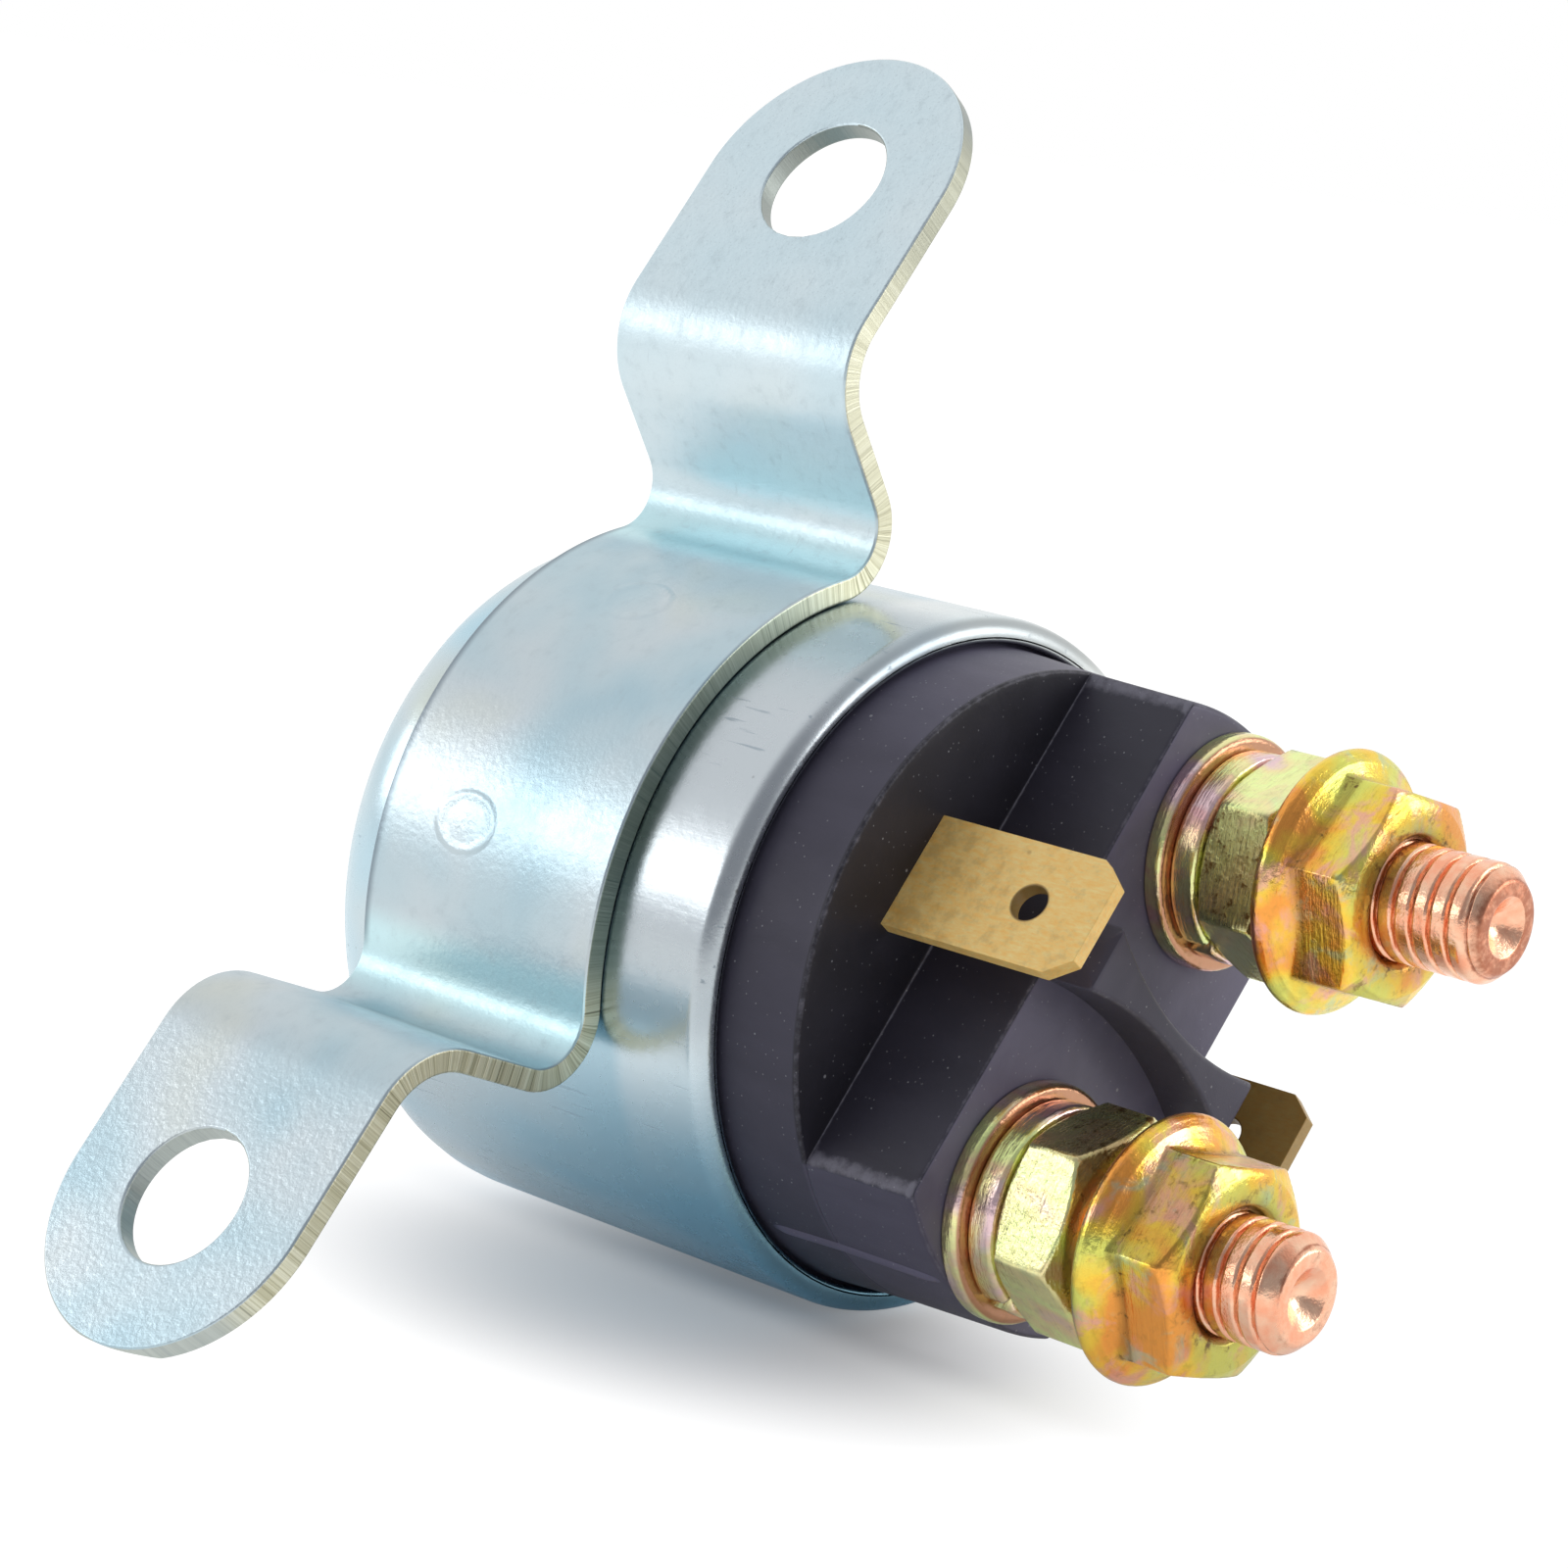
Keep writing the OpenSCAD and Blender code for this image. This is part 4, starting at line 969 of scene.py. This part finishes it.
YELLOW = "yellow_zinc_steel"
dress(can(), [ZINC_CAN], "zinc_steel", "can_shell")
dress(strap(), [ZINC_STRAP, SHEARED], "zinc_steel", "mounting_strap")
for piece in (cap(), barrier(), parting_ridge()):
    dress(piece, [BLACK], "black_plastic", "terminal_cap")
for letter, x, phase, dull in (("a", -STUD_X, 0.2, 1.0), ("b", STUD_X, 0.65, 0.6)):
    dress(stud("stud_" + letter, x, phase, dull), [COPPER], "copper", "terminal_stud_" + letter)
    dress(flat_washer("flat_washer_" + letter, x), [CHROMATE_WASHERS], YELLOW, "flat_washers")
    dress(spring_washer("spring_washer_" + letter, x), [CHROMATE_WASHERS], YELLOW, "spring_washers")
    dress(clamp_nut("clamp_nut_" + letter, *CLAMP_NUTS[letter]), [CHROMATE_NUTS], YELLOW,
          "clamp_nuts")
    dress(flange_nut("flange_nut_dressed_" + letter, *FLANGE_NUTS[letter]), [CHROMATE_FLANGES],
          YELLOW, "flange_nut_" + letter)
# The rear blade's brass is a darker copy: painted shade
for end, y, darkening in (("front", -BLADE_Y, 0.0), ("rear", BLADE_Y, 0.7)):
    brass = brass_sheet("brass_" + end, darkening)
    dress(blade("blade_" + end, y), [brass, brass], "brass_sheet", "blade_terminal_" + end)


# Pieces inside the can

INNER = {
    inner_finish("pressed_fibre", (0.30, 0.17, 0.09), (0.20, 0.11, 0.06), 0, 0.7, 3, 0.02): [
        "base_disc"],
    inner_finish("natural_nylon", (0.80, 0.77, 0.66), (0.72, 0.68, 0.56), 0, 0.45, 4, 0.004): [
        "coil_bobbin"],
    inner_finish("enamelled_wire", (0.52, 0.17, 0.06), (0.36, 0.10, 0.04), 0.6, 0.3, 5, 0.12,
                 (0.1, 0.1, 1)): ["coil_winding", "coil_lead_front", "coil_lead_rear"],
    inner_finish("green_tape", (0.05, 0.28, 0.12), (0.03, 0.20, 0.08), 0, 0.35, 2, 0.02): [
        "winding_tape"],
    inner_finish("soft_iron", (0.42, 0.42, 0.41), (0.32, 0.32, 0.31), 1, 0.4, 4, 0.01): [
        "pole_plate", "fixed_core", "plunger"],
    inner_finish("bright_steel", (0.62, 0.62, 0.61), (0.52, 0.52, 0.51), 1, 0.25, 6, 0.006,
                 (1, 1, 0.1)): ["push_rod"],
    inner_finish("black_spring_steel", (0.06, 0.06, 0.07), (0.03, 0.03, 0.04), 0.8, 0.4, 5,
                 0.006): ["retaining_clip"],
    inner_finish("spring_wire", (0.55, 0.55, 0.54), (0.42, 0.42, 0.41), 1, 0.3, 5, 0.004): [
        "return_spring", "contact_spring"],
    inner_finish("rolled_copper", (0.86, 0.45, 0.30), (0.72, 0.34, 0.22), 1, 0.3, 4, 0.006,
                 (1, 0.15, 1)): ["contact_disc"],
    inner_finish("white_resin", (0.78, 0.78, 0.76), (0.70, 0.70, 0.68), 0, 0.5, 4, 0.004): [
        "contact_bush", "contact_washer"],
    inner_finish("black_rubber", (0.018, 0.018, 0.018), (0.03, 0.03, 0.03), 0, 0.7, 6, 0.01): [
        "cap_gasket"],
}
for material, nodes in INNER.items():
    for name in nodes:
        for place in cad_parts[name].material_slots:
            place.material = material


# Floor, light and camera

def look(place, target, up):
    """The matrix of something at place that looks at target."""
    back = (place - target).normalized()
    side = up.cross(back).normalized()
    turn = Matrix((side, back.cross(side), back)).transposed()
    return Matrix.Translation(place) @ turn.to_4x4()


def floor():
    """A disc on the plane that the can and one ear lie on. It glows white, but the glow is cut
    back round the relay and where the can touches it, so that the paper's own shading shows there
    as a painted shadow, and metal mirrors it less brightly near the relay. From below it lets
    light through."""
    a = even_turn(96)
    side = LIES_UP.cross(Vector((0, 0, 1))).normalized()
    other = LIES_UP.cross(side).normalized()
    r = np.array([0, 60, 200, 600, 2500])[:, None]
    flat = np.stack([r * np.cos(a), r * np.sin(a)], -1).reshape(-1, 2)
    points = flat[:, :1] * np.array(side) + flat[:, 1:] * np.array(other)
    points = points - np.array(LIES_UP) * (LIES_DEPTH + 0.02) + np.array([0, 0, 20])
    piece = mesh_piece("floor", points, grid_quads(5, 96, columns_close=True))
    if piece.data.polygons[0].normal.dot(LIES_UP) < 0:
        piece.data.flip_normals()
    f = Finish("white_paper")
    seen, gleam = f.rays()

    def span(stretch, point):
        """Millimetres from a point, in a space that is stretched along its axes."""
        return f.node("ShaderNodeVectorMath", {"operation": "DISTANCE"},
                      {0: f.place(stretch), 1: tuple(point)}, out=1)

    shadow = span((1, 1, 0.7), SHADOW_AT)
    touch = span((1, 1, 0), -LIES_UP * LIES_DEPTH)
    mirrored = span((1, 1, 0.7), MIRRORED_AT)
    paper = f.node("ShaderNodeBsdfDiffuse", None, {"Color": (0.84, 0.85, 0.88)})
    glow = f.node("ShaderNodeEmission", None, {"Color": (1, 1, 1), "Strength": 1.1})
    # Painted shadow: less glow round the relay and along the line where the can touches
    lit = 0.04 + f.rise(touch, 4.5, 9.0) * 0.14 + f.rise(shadow, 14.0, 27.0) * 0.95
    share = seen * lit + gleam * f.rise(mirrored, 13.0, 46.0)
    white = f.node("ShaderNodeMixShader", None, {0: share, 1: paper, 2: glow})
    below = f.node("ShaderNodeNewGeometry", out=6)
    clear = f.node("ShaderNodeBsdfTransparent")
    both = f.node("ShaderNodeMixShader", None, {0: below, 1: white, 2: clear})
    f.node("ShaderNodeOutputMaterial", None, {"Surface": both})
    piece.data.materials.append(f.material)


def lamp(name, place, size, watts):
    """A soft rectangular lamp, turned to the relay. Its place is up, right and to the camera."""
    light = bpy.data.lights.new(name, "AREA")
    light.shape, light.size, light.size_y = "RECTANGLE", size[0] * MM, size[1] * MM
    light.energy = watts
    body = bpy.data.objects.new(name, light)
    bpy.context.scene.collection.objects.link(body)
    right = CAMERA_AHEAD.cross(CAMERA_UP)
    towards = right.cross(LIES_UP)
    spot = LAMPS_ROUND + place[0] * LIES_UP + place[1] * right + place[2] * towards
    up = LIES_UP if abs(place[0]) < 200 else right
    body.matrix_world = look(spot * MM, LAMPS_ROUND * MM, up)


def sky():
    """White where the camera, and what gleams, looks past the object. Light from behind the
    camera is a softer grey."""
    world = bpy.data.worlds.new("studio")
    world.use_nodes = True
    bpy.context.scene.world = world
    f = Finish.__new__(Finish)
    f.tree = world.node_tree
    f.tree.nodes.clear()
    seen, gleam = f.rays()
    way = f.node("ShaderNodeTexCoord", out=0)

    def along(direction):
        """How far the light's way points in a direction, from -1 to 1."""
        return f.node("ShaderNodeVectorMath", {"operation": "DOT_PRODUCT"},
                      {0: way, 1: tuple(direction)}, out=1)

    ahead, up = along(CAMERA_AHEAD), along(LIES_UP)
    white = seen.math("MAXIMUM", seen, gleam * f.rise(ahead, 0.0, 0.6))
    wall = f.rise(ahead, -0.8, 0.0) * (1 - f.rise(up, 0.24, 0.08) * 0.35)
    shade = f.mix(wall, (0.33, 0.34, 0.37), (0.91, 0.92, 0.94))
    colour = f.mix(white, shade, (1, 1, 1))
    back = f.node("ShaderNodeBackground", None, {"Color": colour, "Strength": 1.0})
    f.node("ShaderNodeOutputWorld", None, {"Surface": back})


floor()
sky()
lamp("key", (232, -600, 0), (500, 150), 0.50)
lamp("fill", (120, 640, 20), (420, 300), 1.1)

view = bpy.data.cameras.new("view")
view.lens, view.sensor_width, view.clip_start, view.clip_end = LENS, SENSOR, 0.01, 20
eye = bpy.data.objects.new("view", view)
bpy.context.scene.collection.objects.link(eye)
eye.matrix_world = look(CAMERA_AT * MM, (CAMERA_AT + CAMERA_AHEAD * 200) * MM, CAMERA_UP)
bpy.context.scene.camera = eye
bpy.context.scene.view_settings.view_transform = "Standard"
